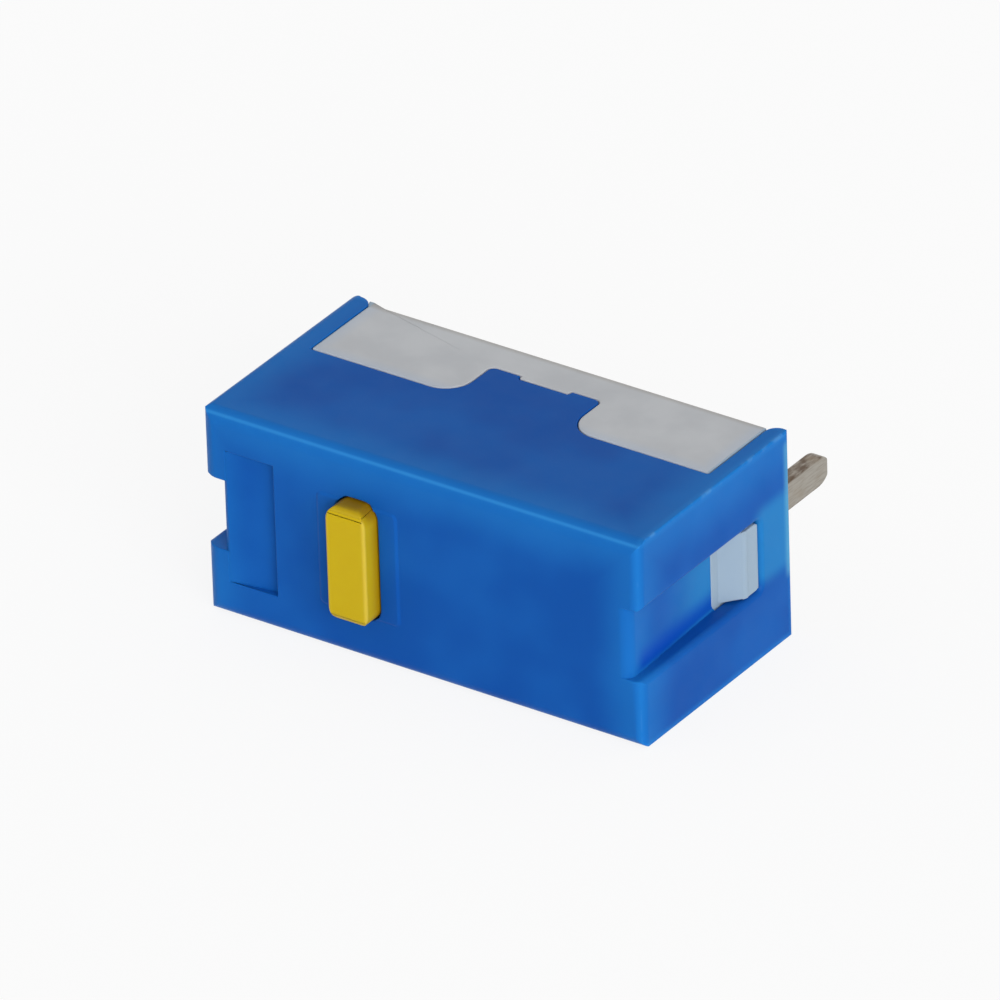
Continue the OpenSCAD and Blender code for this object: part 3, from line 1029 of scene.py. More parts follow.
@dataclass(frozen=True)
class PlungerYellow:
    """Opaque yellow plastic, with painted shade deeper and browner on its side walls and ends, and a painted
    highlight on its rims.
    """

    body: Colour = (0.540, 0.385, 0.005)
    cloud: Colour = (0.49, 0.335, 0.004)
    # painted shade on the side walls and on the ends
    painted_shade_brown: Colour = (0.34, 0.175, 0.003)
    painted_shade_dark: Colour = (0.24, 0.125, 0.003)
    # painted highlight on the rims
    painted_light: Colour = (0.62, 0.48, 0.10)
    clouds: Band = Band(0.3, 0.7, 0.25)
    painted_shade_share: float = 0.75
    painted_highlight_share: float = 0.45
    grain: Grain = Grain(0.38, (0.05, 0.08), (3.0, 4), ((2.0, 2, 0.004), (25, 2, 0.0012)))

    def material(self) -> bpy.types.Material:
        """Draws up the finish.

        Returns:
            The material.
        """
        s = Shader("plunger_yellow")
        x, half_l, face = SIZES.plunger_x, SIZES.plunger_len / 2, -SIZES.plunger_out
        edge = s.to_edge((x - 0.6, face, -half_l), (x + 0.6, 4, half_l))
        tone = s.mix(s.band(s.noise(1.2, 3), self.clouds), self.body, self.cloud)
        # painted shade on the side walls
        tone = s.mix(s.times(s.fade(s.y, face + 0.14, 0.0), self.painted_shade_share), tone, self.painted_shade_brown)
        # painted shade on the ends
        end = s.times(s.fade(s.z, half_l - 0.42, half_l - 0.1), s.fade(s.y, face, face + 0.3))
        tone = s.mix(s.times(end, self.painted_shade_share), tone, self.painted_shade_dark)
        # painted highlight on the rims of the head
        rim = s.times(s.fade(edge, 0.16, 0.02), s.fade(s.y, face + 0.12, face + 0.03))
        tone = s.mix(s.times(rim, self.painted_highlight_share), tone, self.painted_light)
        s.put(base_color=tone, ior=1.48, specular_ior_level=0.12, subsurface_weight=0.15,
              subsurface_radius=(1.0, 0.6, 0.1), subsurface_scale=0.2 * MM)
        s.surface(self.grain)
        return s.material


@dataclass(frozen=True)
class StripMetal:
    """Rolled and sheared strip: grain along one way, darker streaked cut faces, faint stains."""

    name: str
    body: Colour
    cut: Colour
    stain: Colour
    rough: float
    grain: Colour = (6.0, 0.35, 6.0)
    spread: tuple[float, float] = (0.08, 0.12)
    streaks: Band = Band(0.4, 0.75, 0.35)
    stains: Band = Band(0.52, 0.75, 0.5)
    cut_w: float = 0.07

    def material(self) -> bpy.types.Material:
        """Draws up the finish.

        Returns:
            The material.
        """
        s, half = Shader(self.name), SIZES.pin_w / 2
        streak = s.noise(6.0, 4, self.grain)
        tone = s.mix(s.band(streak, self.streaks), self.body, self.cut)
        sheared = s.fade(s.size(s.z), half - self.cut_w, half - 0.01)
        torn = s.fade(s.noise(3.0, 3, (2.0, 0.8, 1.0)), 0.3, 0.6, 0.25, 1.0)
        tone = s.mix(s.times(sheared, torn), tone, self.cut)
        tone = s.mix(s.band(s.noise(1.8, 5), self.stains), tone, self.stain)
        s.put(base_color=tone, metallic=1.0)
        s.vary(streak, self.rough, self.spread)
        s.bump(streak, 0.004)
        s.bump(s.noise(14, 3), 0.002)
        return s.material


@dataclass(frozen=True)
class ContactSilver:
    """Pressed silver alloy, dull and a little tarnished, with the marks of the press."""

    body: Colour = (0.72, 0.71, 0.69)
    tarnish: Colour = (0.42, 0.38, 0.33)
    tarnished: Band = Band(0.5, 0.78, 0.7)
    grain: Grain = Grain(0.34, (0.08, 0.1), (8.0, 3), ((16, 3, 0.003),))

    def material(self) -> bpy.types.Material:
        """Draws up the finish.

        Returns:
            The material.
        """
        s = Shader("contact_silver")
        tone = s.mix(s.band(s.noise(3.5, 5), self.tarnished), self.body, self.tarnish)
        s.put(base_color=tone, metallic=1.0)
        s.surface(self.grain)
        return s.material


@dataclass(frozen=True)
class Silicone:
    """Soft grey silicone with a dusty bloom."""

    body: Colour = (0.19, 0.19, 0.20)
    bloom: Colour = (0.33, 0.33, 0.34)
    bloomed: Band = Band(0.42, 0.75, 0.6)
    grain: Grain = Grain(0.58, (0.08, 0.08), (4.0, 4), ((18, 3, 0.003),))

    def material(self) -> bpy.types.Material:
        """Draws up the finish.

        Returns:
            The material.
        """
        s = Shader("silicone")
        tone = s.mix(s.band(s.noise(1.5, 5), self.bloomed), self.body, self.bloom)
        s.put(base_color=tone, ior=1.41, specular_ior_level=0.4, sheen_weight=0.15,
              subsurface_weight=0.2, subsurface_radius=(1.0, 1.0, 1.0), subsurface_scale=0.2 * MM)
        s.surface(self.grain)
        return s.material


# ---- Pieces ----


@dataclass
class Cover:
    """Blue clip-on cover: box with straps down its ends, end channels, snap slots and skirt tongues."""

    corner_r: tuple[float, float] = (0.5, 0.3)
    strap_tip_r: tuple[float, float] = (0.26, 0.12)
    end_edge_r: tuple[float, float] = (0.3, 0.06)
    front_r: float = 0.4
    channel_mouth_r: float = 0.16
    pocket_x: tuple[float, float] = (-5.75, -4.36)
    pocket_z: float = 1.82
    pocket_d: tuple[float, float] = (0.012, 0.24)
    pad: tuple[float, float] = (2.42, 3.2)
    pad_h: float = 0.04
    pad_r: float = 0.08
    pad_slope: float = 0.12
    pad_sunk: float = 0.004
    pad_rings: int = 6
    soft: float = 0.04
    finish: CoverBlue = field(default_factory=CoverBlue)

    def side_outline(self) -> np.ndarray:
        """Outline of the whole cover seen from the side: each half is its end's own reach and rounding.

        Returns:
            Closed outline in x and y.
        """
        d = SIZES
        tongue, step = d.tongue_w / 2, d.tongue_step_w / 2
        halves = []
        for side, out, corner_r, tip_r in zip((-1, 1), d.ends, self.corner_r, self.strap_tip_r):
            lead_r = min(d.lead_r, out - d.strap_x - tip_r - 0.01)
            ends = [(out, 0, corner_r), (out, d.seat_depth, tip_r), (d.strap_x, d.seat_depth, lead_r),
                    (d.strap_x, d.skirt_depth, SMALL)]
            middle = [(tongue, d.skirt_depth, d.tongue_root_r), (tongue, d.tongue_depth, d.tongue_tip_r),
                      (step, d.tongue_depth, SMALL), (step, d.tongue_depth - d.tongue_step_d, SMALL)]
            halves.append([(side * x, y, r) for x, y, r in ends]
                          + [(d.tongue_x + side * x, y, r) for x, y, r in middle])
        return fillet(halves[1] + halves[0][::-1])

    def mouth(self, out: float) -> bpy.types.Mesh:
        """Opening of a channel and its slot, flared at the outer face out: over the last radius each
        ring is the opening's outline moved out by r (1 - cos a) at height out - r (1 - sin a).

        Args:
            out: Place of the end's outer face.

        Returns:
            Closed mesh to cut with.
        """
        d, r, half = SIZES, self.channel_mouth_r, SIZES.channel_w / 2
        outline = anticlockwise(rectangle((-PAST, -half), (d.slot_depth, half), d.slot_r))
        turn = np.linspace(0, np.pi / 2, ARC_STEPS + 1)
        grow = np.concatenate([[0], r * (1 - np.cos(turn)), [r]])
        height = np.concatenate([[out - 2 * r], out - r * (1 - np.sin(turn)), [out + PAST]])
        return stacked("mouth", outline, grow, height, Axis.X)

    def end_cuts(self, out: float) -> list[bpy.types.Mesh]:
        """Channel, snap slot and their flared mouth at the +x end, whose outer face is at out.

        Args:
            out: Place of the end's outer face.

        Returns:
            Closed meshes to cut with.
        """
        d = SIZES
        half, far, front = d.channel_w / 2, out + PAST, d.strap_x + d.channel_rise
        turn = np.linspace(0, np.pi / 2, ARC_STEPS + 1)
        lip = np.stack([front - d.end_r * (1 - np.cos(turn)), d.end_r * (1 - np.sin(turn))], axis=1)
        into_slot = d.skirt_depth + 2 * d.slot_r
        channel = np.concatenate([[(far, -PAST), (far, into_slot), (d.strap_x, into_slot),
                                   (d.strap_x, d.skirt_depth)], lip, [(front - d.end_r, -PAST)]])
        slot = rectangle((d.skirt_depth, -half), (d.slot_depth, half), d.slot_r)
        return [prism(channel, Axis.Z, -half, half), prism(slot, Axis.X, d.cavity_x - PAST, far),
                self.mouth(out)]

    def raised(self) -> bpy.types.Mesh:
        """Pad round the hole: its outline grows by pad_slope from its face down to the front wall, along
        a smooth step in height.

        Returns:
            Closed mesh that reaches into the front wall.
        """
        slope, sunk = self.pad_slope, self.pad_sunk
        outline = anticlockwise(centred(self.pad[0] - 2 * slope, self.pad[1] - 2 * slope, self.pad_r))
        share = np.linspace(0, 1, self.pad_rings)
        step = share ** 2 * (3 - 2 * share)
        height = np.append(sunk - (self.pad_h + sunk) * (1 - step), SIZES.front_wall / 2)
        return stacked("pad", outline, np.append(slope * share, slope), height, Axis.Y,
                       (SIZES.plunger_x, 0))

    def build(self) -> bpy.types.Object:
        """Builds and dresses the cover.

        Returns:
            The cover.
        """
        d, (left, right) = SIZES, SIZES.ends
        wide = d.half_w + PAST
        body = prism(self.side_outline(), Axis.Z, -wide, wide)
        front = rectangle((0, -d.half_w), (d.seat_depth + PAST, d.half_w), self.front_r)
        r = self.end_edge_r
        ends = fillet([(-left, -d.half_w, r[0]), (right, -d.half_w, r[1]), (right, d.half_w, r[1]),
                       (-left, d.half_w, r[0])])
        deep = d.seat_depth + PAST
        body = joined(body, Join.MEET, prism(front, Axis.X, -left - PAST, right + PAST),
                      prism(ends, Axis.Y, -PAST, deep))
        body = joined(body, Join.ADD, self.raised())
        cavity = prism(centred(2 * d.cavity_x, 2 * d.cavity_z, d.cavity_r), Axis.Y, d.front_wall, deep)
        throat = prism(centred(2 * d.strap_x, 2 * d.cavity_z, 0), Axis.Y, d.skirt_depth, deep)
        x, depth = self.pocket_x, self.pocket_d
        pocket = fillet([(x[0], -PAST, 0), (x[1], -PAST, 0), (x[1], depth[1], 0), (x[0], depth[0], 0)])
        grow = 2 * d.hole_gap
        hole = prism(centred(d.plunger_w + grow, d.plunger_len + grow, d.plunger_r + d.hole_gap)
                     + [d.plunger_x, 0], Axis.Y, -PAST, d.front_wall + PAST)
        cuts = self.end_cuts(right) + [mirrored(cut) for cut in self.end_cuts(left)]
        body = joined(body, Join.CUT, cavity, throat, *cuts,
                      prism(pocket, Axis.Z, -self.pocket_z, self.pocket_z), hole)
        body = softened(body, self.soft, flat=1.0)
        return place("cover_shell", body, Body.CASE, "cover", self.finish.material())


@dataclass
class Terminals:
    """The three stamped terminals: each a pin with its strip bent into the case."""

    shank_end: float = 4.4
    pin_nose: float = 0.5
    pin_coin_r: float = 0.16
    coin: float = 0.05
    strip_r: float = 0.1
    strip_end_r: float = 0.09
    plate_y: float = 2.94
    com_top: float = 1.35
    com_z: float = 0.95
    com_slot_z: float = 0.42
    com_slot_y: float = 1.76
    com_plate_x: float = 1.5
    com_plate_z: float = 0.9
    com_post_top: float = 1.92
    com_notch_y: tuple[float, float] = (2.02, 2.55)
    com_notch_d: float = 0.12
    arm_z: float = 0.75
    nc_top: float = 0.74
    nc_arm_x: float = -3.5
    no_arm_x: float = -4.5
    slot_r: float = 0.05
    soft: float = 0.02
    finish: StripMetal = field(default_factory=lambda: StripMetal(
        "tinned_strip", (0.40, 0.375, 0.33), (0.12, 0.085, 0.06), (0.30, 0.25, 0.19), 0.42))

    def pin(self, x: float) -> bpy.types.Mesh:
        """Pin at place x, with coined long edges and half an ellipse, pin_nose long, for its tip.

        Args:
            x: Its place along the case.

        Returns:
            Closed mesh.
        """
        d = SIZES
        half_t, half, start = d.strip_t / 2, d.pin_w / 2, self.shank_end - PAST
        turn = np.linspace(-np.pi / 2, np.pi / 2, 25)
        nose = np.stack([d.pin_tip - self.pin_nose * (1 - np.cos(turn)), half * np.sin(turn)], axis=1)
        blade = np.concatenate([[(start, -half)], nose, [(start, half)]])
        tip = rectangle((x - half_t, self.shank_end - PAST), (x + half_t, d.pin_tip), self.pin_coin_r)
        return joined(prism(blade, Axis.X, x - half_t, x + half_t, (self.coin, self.coin)),
                      Join.MEET, prism(tip, Axis.Z, -d.pin_w, d.pin_w))

    def elbow(self, leg_x: float, leg_y: float, z: float) -> bpy.types.Mesh:
        """Bent strip with its outer corner at the origin and legs along +x and +y, 2z wide.

        Args:
            leg_x: Length of the leg along +x.
            leg_y: Length of the leg along +y.
            z: Half its width.

        Returns:
            Closed mesh.
        """
        t, r, end_r = SIZES.strip_t, self.strip_r, self.strip_end_r
        outline = fillet([(0, 0, t + r), (leg_x, 0, end_r), (leg_x, t, end_r), (t, t, r),
                          (t, leg_y, end_r), (0, leg_y, end_r)])
        return prism(outline, Axis.Z, -z, z, (SMALL, SMALL))

    def com(self) -> bpy.types.Mesh:
        """Common terminal: slotted post for the spring's tail, plate, and post with the tongue's notch.

        Returns:
            Closed mesh.
        """
        d = SIZES
        post_x, far = d.pin_pitch - d.strip_t / 2, d.pin_pitch + d.strip_t / 2
        post = prism(rectangle((self.com_top, -self.com_z), (self.shank_end, self.com_z),
                               self.pin_coin_r), Axis.X, post_x, far, (SMALL, SMALL))
        slot = prism(rectangle((self.com_top - PAST, -self.com_slot_z),
                               (self.com_slot_y, self.com_slot_z), self.slot_r),
                     Axis.X, post_x - PAST, far + PAST)
        floor = self.plate_y + d.strip_t
        bend = self.elbow(far - self.strip_r - self.com_plate_x, floor - self.com_post_top,
                          self.com_plate_z)
        bend.transform(Matrix.Translation((self.com_plate_x, floor, 0)) @ Matrix.Diagonal((1, -1, 1, 1)))
        bend.flip_normals()
        x = self.com_plate_x
        notch = prism(rectangle((x - PAST, self.com_notch_y[0]), (x + self.com_notch_d,
                                self.com_notch_y[1]), SMALL), Axis.Z, -PAST, PAST)
        strip = joined(joined(post, Join.CUT, slot), Join.ADD, joined(bend, Join.CUT, notch))
        return joined(strip, Join.ADD, self.pin(d.pin_pitch))

    def no(self) -> bpy.types.Mesh:
        """Normally open terminal: an arm on the floor of the base, under the moving contact.

        Returns:
            Closed mesh.
        """
        half_t = SIZES.strip_t / 2
        arm = self.elbow(half_t - self.no_arm_x, self.shank_end - self.plate_y, self.arm_z)
        arm.transform(Matrix.Translation((half_t, self.plate_y, 0)) @ Matrix.Diagonal((-1, 1, 1, 1)))
        arm.flip_normals()
        return joined(arm, Join.ADD, self.pin(0))

    def nc(self) -> bpy.types.Mesh:
        """Normally closed terminal: a post and an arm over the moving contact.

        Returns:
            Closed mesh.
        """
        corner = -SIZES.pin_pitch - SIZES.strip_t / 2
        arm = self.elbow(self.nc_arm_x - corner, self.shank_end - self.nc_top, self.arm_z)
        arm.transform(Matrix.Translation((corner, self.nc_top, 0)))
        return joined(arm, Join.ADD, self.pin(-SIZES.pin_pitch))

    def build(self) -> list[bpy.types.Mesh]:
        """Builds and dresses the terminals.

        Returns:
            Their closed meshes in millimetres, for the base to be cut round.
        """
        metal = self.finish.material()
        shapes = [self.com(), self.no(), self.nc()]
        for name, shape in zip(("com_terminal", "no_terminal", "nc_terminal"), shapes):
            strip = softened(shape.copy(), self.soft, SOFT_STEPS)
            place(name + "_strip", strip, Body.CASE, name, metal)
        return shapes


@dataclass
class Base:
    """Milky base: side fields round the tongues, rim round the mechanism, snap lugs, feet and pin wells."""

    rim_gap: float = 0.05
    rim_depth: float = 2.2
    pocket_floor: float = 3.34
    bay_x: float = 4.6
    bay_z: float = 1.85
    edge_r: float = 0.04
    lug_w: float = 1.85
    lug_out: float = 0.44
    lug_ramp: tuple[float, float] = (4.05, 4.6)
    lug_end: float = 5.17
    foot: tuple[float, float] = (0.35, 0.6)
    foot_inset: float = 0.3
    lip_w: float = 0.6
    well: tuple[float, float] = (1.3, 2.0)
    well_d: float = 0.25
    rib_x: tuple[float, float] = (0.65, 1.05)
    rib_depth: float = 2.98
    gasket_t: float = 0.17
    gasket_y: tuple[float, float] = (2.75, 3.1)
    gasket_soft: float = 0.05
    soft: float = 0.035
    finish: BaseMilky = field(default_factory=BaseMilky)

    def field_outline(self) -> np.ndarray:
        """Outline of the side fields, which leave a joint gap all round the skirts and their tongues.

        Returns:
            Closed outline in x and y.
        """
        d, g = SIZES, SIZES.joint_gap
        tongue, step = d.tongue_w / 2 + g, d.tongue_step_w / 2 - g
        top, tip = d.skirt_depth + g, d.tongue_depth + g
        half = [(tongue, top, d.tongue_root_r - g), (tongue, tip, d.tongue_tip_r + g),
                (step, tip, SMALL), (step, tip - d.tongue_step_d, SMALL)]
        left, right = ([(d.tongue_x + side * x, y, r) for x, y, r in half] for side in (-1, 1))
        back = d.case_depth + PAST
        return fillet([(-d.base_x, top, SMALL), *left, *right[::-1], (d.base_x, top, SMALL),
                       (d.base_x, back, 0), (-d.base_x, back, 0)])

    def lip(self, low: float) -> bpy.types.Mesh:
        """Small lip of the corner beside the thicker strap, from place low across the base.

        Args:
            low: Its lowest place from side to side.

        Returns:
            Closed mesh.
        """
        x, y = -SIZES.base_x, SIZES.case_depth
        ramp = fillet([(x + 0.5, y - 0.1, 0), (x + 0.42, y, 0.05), (x + 0.02, y + 0.12, 0.1),
                       (x - 0.14, y + 0.12, FINE), (x - 0.02, y - 0.1, 0)])
        return prism(ramp, Axis.Z, low, low + self.lip_w)

    def lug(self) -> bpy.types.Mesh:
        """Ramped lug that the strap snaps over, at the +x end.

        Returns:
            Closed mesh.
        """
        out = SIZES.base_x + self.lug_out
        ramp = fillet([(self.bay_x, self.lug_ramp[0], 0), (SIZES.base_x, self.lug_ramp[0], 0),
                       (out, self.lug_ramp[1], 0.3), (out, self.lug_end, SMALL),
                       (self.bay_x, self.lug_end, 0)])
        ends = rectangle((SIZES.skirt_depth, -self.lug_w / 2), (self.lug_end, self.lug_w / 2), SIZES.slot_r)
        return joined(prism(ramp, Axis.Z, -self.lug_w / 2, self.lug_w / 2), Join.MEET,
                      prism(ends, Axis.X, self.bay_x, SIZES.half_len))

    def block(self) -> bpy.types.Mesh:
        """Side fields and the core behind the skirts, with the edges of the seating side rounded.

        Returns:
            Closed mesh.
        """
        d = SIZES
        wide = d.half_w + PAST
        fields = prism(self.field_outline(), Axis.Z, -wide, wide)
        core = prism(centred(2 * d.base_x, 2 * d.base_z, 0), Axis.Y, d.skirt_depth + d.joint_gap,
                     d.case_depth + PAST)
        rounded = rectangle((d.skirt_depth - PAST, -d.half_w), (d.case_depth, d.half_w), self.edge_r)
        return joined(joined(fields, Join.ADD, core), Join.MEET,
                      prism(rounded, Axis.X, -d.base_x - PAST, d.base_x + PAST))

    def ring(self, grow: float) -> bpy.types.Mesh:
        """Ring between the rim and the cover's walls; grow takes its outside past the walls.

        Args:
            grow: How far its outside goes past the walls.

        Returns:
            Closed mesh.
        """
        d = SIZES
        w, h = 2 * (d.cavity_x + grow), 2 * (d.cavity_z + grow)
        ring = prism(centred(w, h, d.cavity_r + grow), Axis.Y, *self.gasket_y)
        w, h = w - 2 * (self.gasket_t + grow), h - 2 * (self.gasket_t + grow)
        hole = prism(centred(w, h, d.cavity_r - self.gasket_t), Axis.Y, self.gasket_y[0] - PAST,
                     self.gasket_y[1] + PAST)
        return joined(ring, Join.CUT, hole)

    def build(self, strips: list[bpy.types.Mesh]) -> None:
        """Builds and dresses the base round the terminals' strips, and its gasket.

        Args:
            strips: Closed meshes of the terminals, which are cut out of it.
        """
        d = SIZES
        rim = prism(centred(2 * (d.cavity_x - self.rim_gap), 2 * (d.cavity_z - self.rim_gap), d.cavity_r),
                    Axis.Y, self.rim_depth, d.skirt_depth + PAST / 2)
        rim = joined(rim, Join.CUT, self.ring(PAST))
        corner = [d.base_x - self.foot[0] / 2, d.half_w - self.foot[1] / 2 - self.foot_inset]
        foot = prism(centred(*self.foot, SMALL) + corner, Axis.Y, d.case_depth - PAST, d.seat_depth,
                     (0, FINE))
        feet = [foot, mirrored(foot), mirrored(foot, 1, -1), mirrored(foot, -1, -1)]
        lug = self.lug()
        lips = [self.lip(low) for low in (-d.half_w, d.half_w - self.lip_w)]
        body = joined(self.block(), Join.ADD, rim, lug, mirrored(lug), *feet, *lips)
        bay = prism(centred(2 * self.bay_x, 2 * self.bay_z, d.cavity_r), Axis.Y, self.rim_depth - PAST,
                    self.pocket_floor)
        rib = prism(rectangle((self.rib_x[0], -PAST * 3), (self.rib_x[1], PAST * 3), 0), Axis.Y,
                    self.rib_depth, d.case_depth)
        wells = [prism(centred(*self.well, d.cavity_r) + [x, 0], Axis.Y, d.case_depth - self.well_d,
                       d.case_depth + PAST) for x in (-d.pin_pitch, 0, d.pin_pitch)]
        body = joined(body, Join.CUT, joined(bay, Join.CUT, rib), *wells, *strips)
        body = softened(body, self.soft, flat=0.5)
        place("base_block", body, Body.CASE, "base", self.finish.material())
        gasket = softened(self.ring(0), self.gasket_soft, SOFT_STEPS + 1)
        place("base_gasket_ring", gasket, Body.CASE, "base_gasket", Silicone().material())


@dataclass
class Plunger:
    """Yellow plunger: oblong head, neck for the seal, flange under the front wall and round foot."""

    head_r: float = 0.08
    shoulder_y: float = 0.62
    flange: tuple[float, float] = (1.7, 3.75)
    flange_y: tuple[float, float] = (0.88, 1.18)
    foot_w: float = 0.6
    foot_len: float = 3.0
    foot_gap: float = 0.02
    flange_rims: tuple[float, float] = (0.03, 0.06)
    foot_rim: float = 0.05
    overlap: float = 0.1
    soft: float = 0.02
    finish: PlungerYellow = field(default_factory=PlungerYellow)

    def build(self) -> bpy.types.Object:
        """Builds and dresses the plunger.

        Returns:
            The plunger.
        """
        d = SIZES
        shift = [d.plunger_x, 0]
        body = prism(centred(d.plunger_w, d.plunger_len, d.plunger_r) + shift, Axis.Y, -d.plunger_out,
                     self.shoulder_y, (self.head_r, 0.02))
        half_l = d.plunger_len / 2
        side = rectangle((-d.plunger_out, -half_l), (self.shoulder_y + PAST, half_l), d.plunger_end_r)
        body = joined(body, Join.MEET, prism(side, Axis.X, d.plunger_x - PAST, d.plunger_x + PAST))
        neck = prism(oblong(*d.neck) + shift, Axis.Y, self.shoulder_y - self.overlap,
                     self.flange_y[0] + self.overlap)
        flange = prism(oblong(*self.flange) + shift, Axis.Y, *self.flange_y, self.flange_rims)
        end, r = d.spring_y - self.foot_gap, self.foot_w / 2
        angle = np.linspace(0, np.pi, 25)
        nose = np.stack([r * np.cos(angle), end - r + r * np.sin(angle)], axis=1)
        top = self.flange_y[1] - self.overlap
        foot = np.concatenate([nose, [(-r, top), (r, top)]]) + [d.plunger_x, 0]
        body = joined(body, Join.ADD, neck, flange,
                      prism(foot, Axis.Z, -self.foot_len / 2, self.foot_len / 2,
                            (self.foot_rim, self.foot_rim)))
        body = softened(body, self.soft, SOFT_STEPS)
        return place("plunger_button", body, Body.PLUNGER, "plunger",
                     self.finish.material())


@dataclass
class Seal:
    """Silicone diaphragm: a rim under the front wall, a sloping web and a lip in the plunger's neck."""

    profile: tuple[tuple[float, float, float], ...] = (
        (0.01, 0.68, 0.03), (0.16, 0.68, 0.05), (0.36, 0.64, 0.1), (0.62, 0.56, 0.0), (0.9, 0.552, 0.03),
        (0.9, 0.74, 0.05), (0.68, 0.70, 0.1), (0.40, 0.78, 0.1), (0.2, 0.86, 0.05), (0.01, 0.868, 0.03))
    arc_steps: int = 5
    bend_y: tuple[float, float] = (0.65, 0.8)
    finish: Silicone = field(default_factory=Silicone)

    def build(self) -> bpy.types.Object:
        """Builds the seal: its profile of (out, depth, radius) carried round the plunger's neck.

        Returns:
            The seal, which rides on neither body.
        """
        d = SIZES
        mesh = sweep(oblong(*d.neck, 4 * self.arc_steps), fillet(list(self.profile), self.arc_steps),
                     d.plunger_x)
        mesh.polygons.foreach_set("use_smooth", np.ones(len(mesh.polygons), dtype=bool))
        piece = place("plunger_seal_web", mesh, None, "plunger_seal",
                      self.finish.material())
        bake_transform(piece)
        return piece


@dataclass
class ContactSpring:
    """One-piece spring: frame with a window, arm, tail, and a curved tongue bent out of the window."""

    frame_start: float = -3.2
    frame_z: float = 1.6
    window: tuple[float, float] = (-1.3, 4.0)
    window_z: float = 1.15
    arm_x: float = -4.5
    arm_z: float = 0.55
    neck_z: float = 0.38
    tail_z: float = 0.75
    tail_t: float = 0.12
    hole_r: float = 0.21
    tongue_z: float = 0.75
    tongue_end: tuple[float, float] = (1.42, 2.2)
    tongue_sag: float = 0.42
    soft: float = 0.015
    finish: StripMetal = field(default_factory=lambda: StripMetal(
        "spring_strip", (0.80, 0.40, 0.20), (0.55, 0.25, 0.11), (0.45, 0.22, 0.12), 0.25, (0.35, 6.0, 6.0)))

    def blank(self) -> bpy.types.Mesh:
        """Flat blank with its window and the rivet's hole.

        Returns:
            Closed mesh.
        """
        d = SIZES
        frame_end, tail = d.hinge_x - 0.02, d.pin_pitch + d.strip_t / 2 + 0.02
        upper = [(tail + self.tail_t, self.tail_z, 0.04), (tail, self.tail_z, 0.04),
                 (tail, self.neck_z, 0.02), (frame_end, self.neck_z, 0.06), (frame_end, self.frame_z, 0.3),
                 (self.frame_start, self.frame_z, 0.4), (d.contact_x, self.arm_z, 0.3),
                 (self.arm_x, self.arm_z, 0.27)]
        outline = fillet(upper + [(x, -z, r) for x, z, r in reversed(upper)])
        low, high = d.spring_y, d.spring_y + d.spring_t
        window = rectangle((self.window[0], -self.window_z), (self.window[1], self.window_z), 0.15)
        turn = np.linspace(0, 2 * np.pi, 48, endpoint=False)
        hole = self.hole_r * np.stack([np.cos(turn), np.sin(turn)], axis=1) + [d.contact_x, 0]
        return joined(prism(outline, Axis.Y, low, high), Join.CUT,
                      prism(window, Axis.Y, low - PAST, high + PAST),
                      prism(hole, Axis.Y, low - PAST, high + PAST))

    def tongue(self) -> bpy.types.Mesh:
        """Curved tongue: an arc through its two ends with the given sag, thickened by half the strip
        on each side of its middle line.

        Returns:
            Closed mesh.
        """
        t = SIZES.spring_t
        start = np.array([self.window[0] - t, SIZES.spring_y + t / 2])
        run = np.array(self.tongue_end) - start
        chord = np.linalg.norm(run)
        r = chord ** 2 / (8 * self.tongue_sag) + self.tongue_sag / 2
        centre = start + run / 2 + np.array([-run[1], run[0]]) / chord * (self.tongue_sag - r)
        ends = [math.atan2(*(p - centre)[::-1]) for p in (start, np.array(self.tongue_end))]
        angle = np.linspace(*ends, 40)
        line = np.stack([np.cos(angle), np.sin(angle)], axis=1)
        outline = np.concatenate([centre + line * (r + t / 2), centre + line[::-1] * (r - t / 2)])
        return prism(outline, Axis.Z, -self.tongue_z, self.tongue_z)

    def build(self) -> bpy.types.Object:
        """Builds and dresses the spring.

        Returns:
            The spring.
        """
        body = softened(joined(self.blank(), Join.ADD, self.tongue()), self.soft, SOFT_STEPS)
        return place("contact_spring_blade", body, Body.ARM, "contact_spring",
                     self.finish.material())


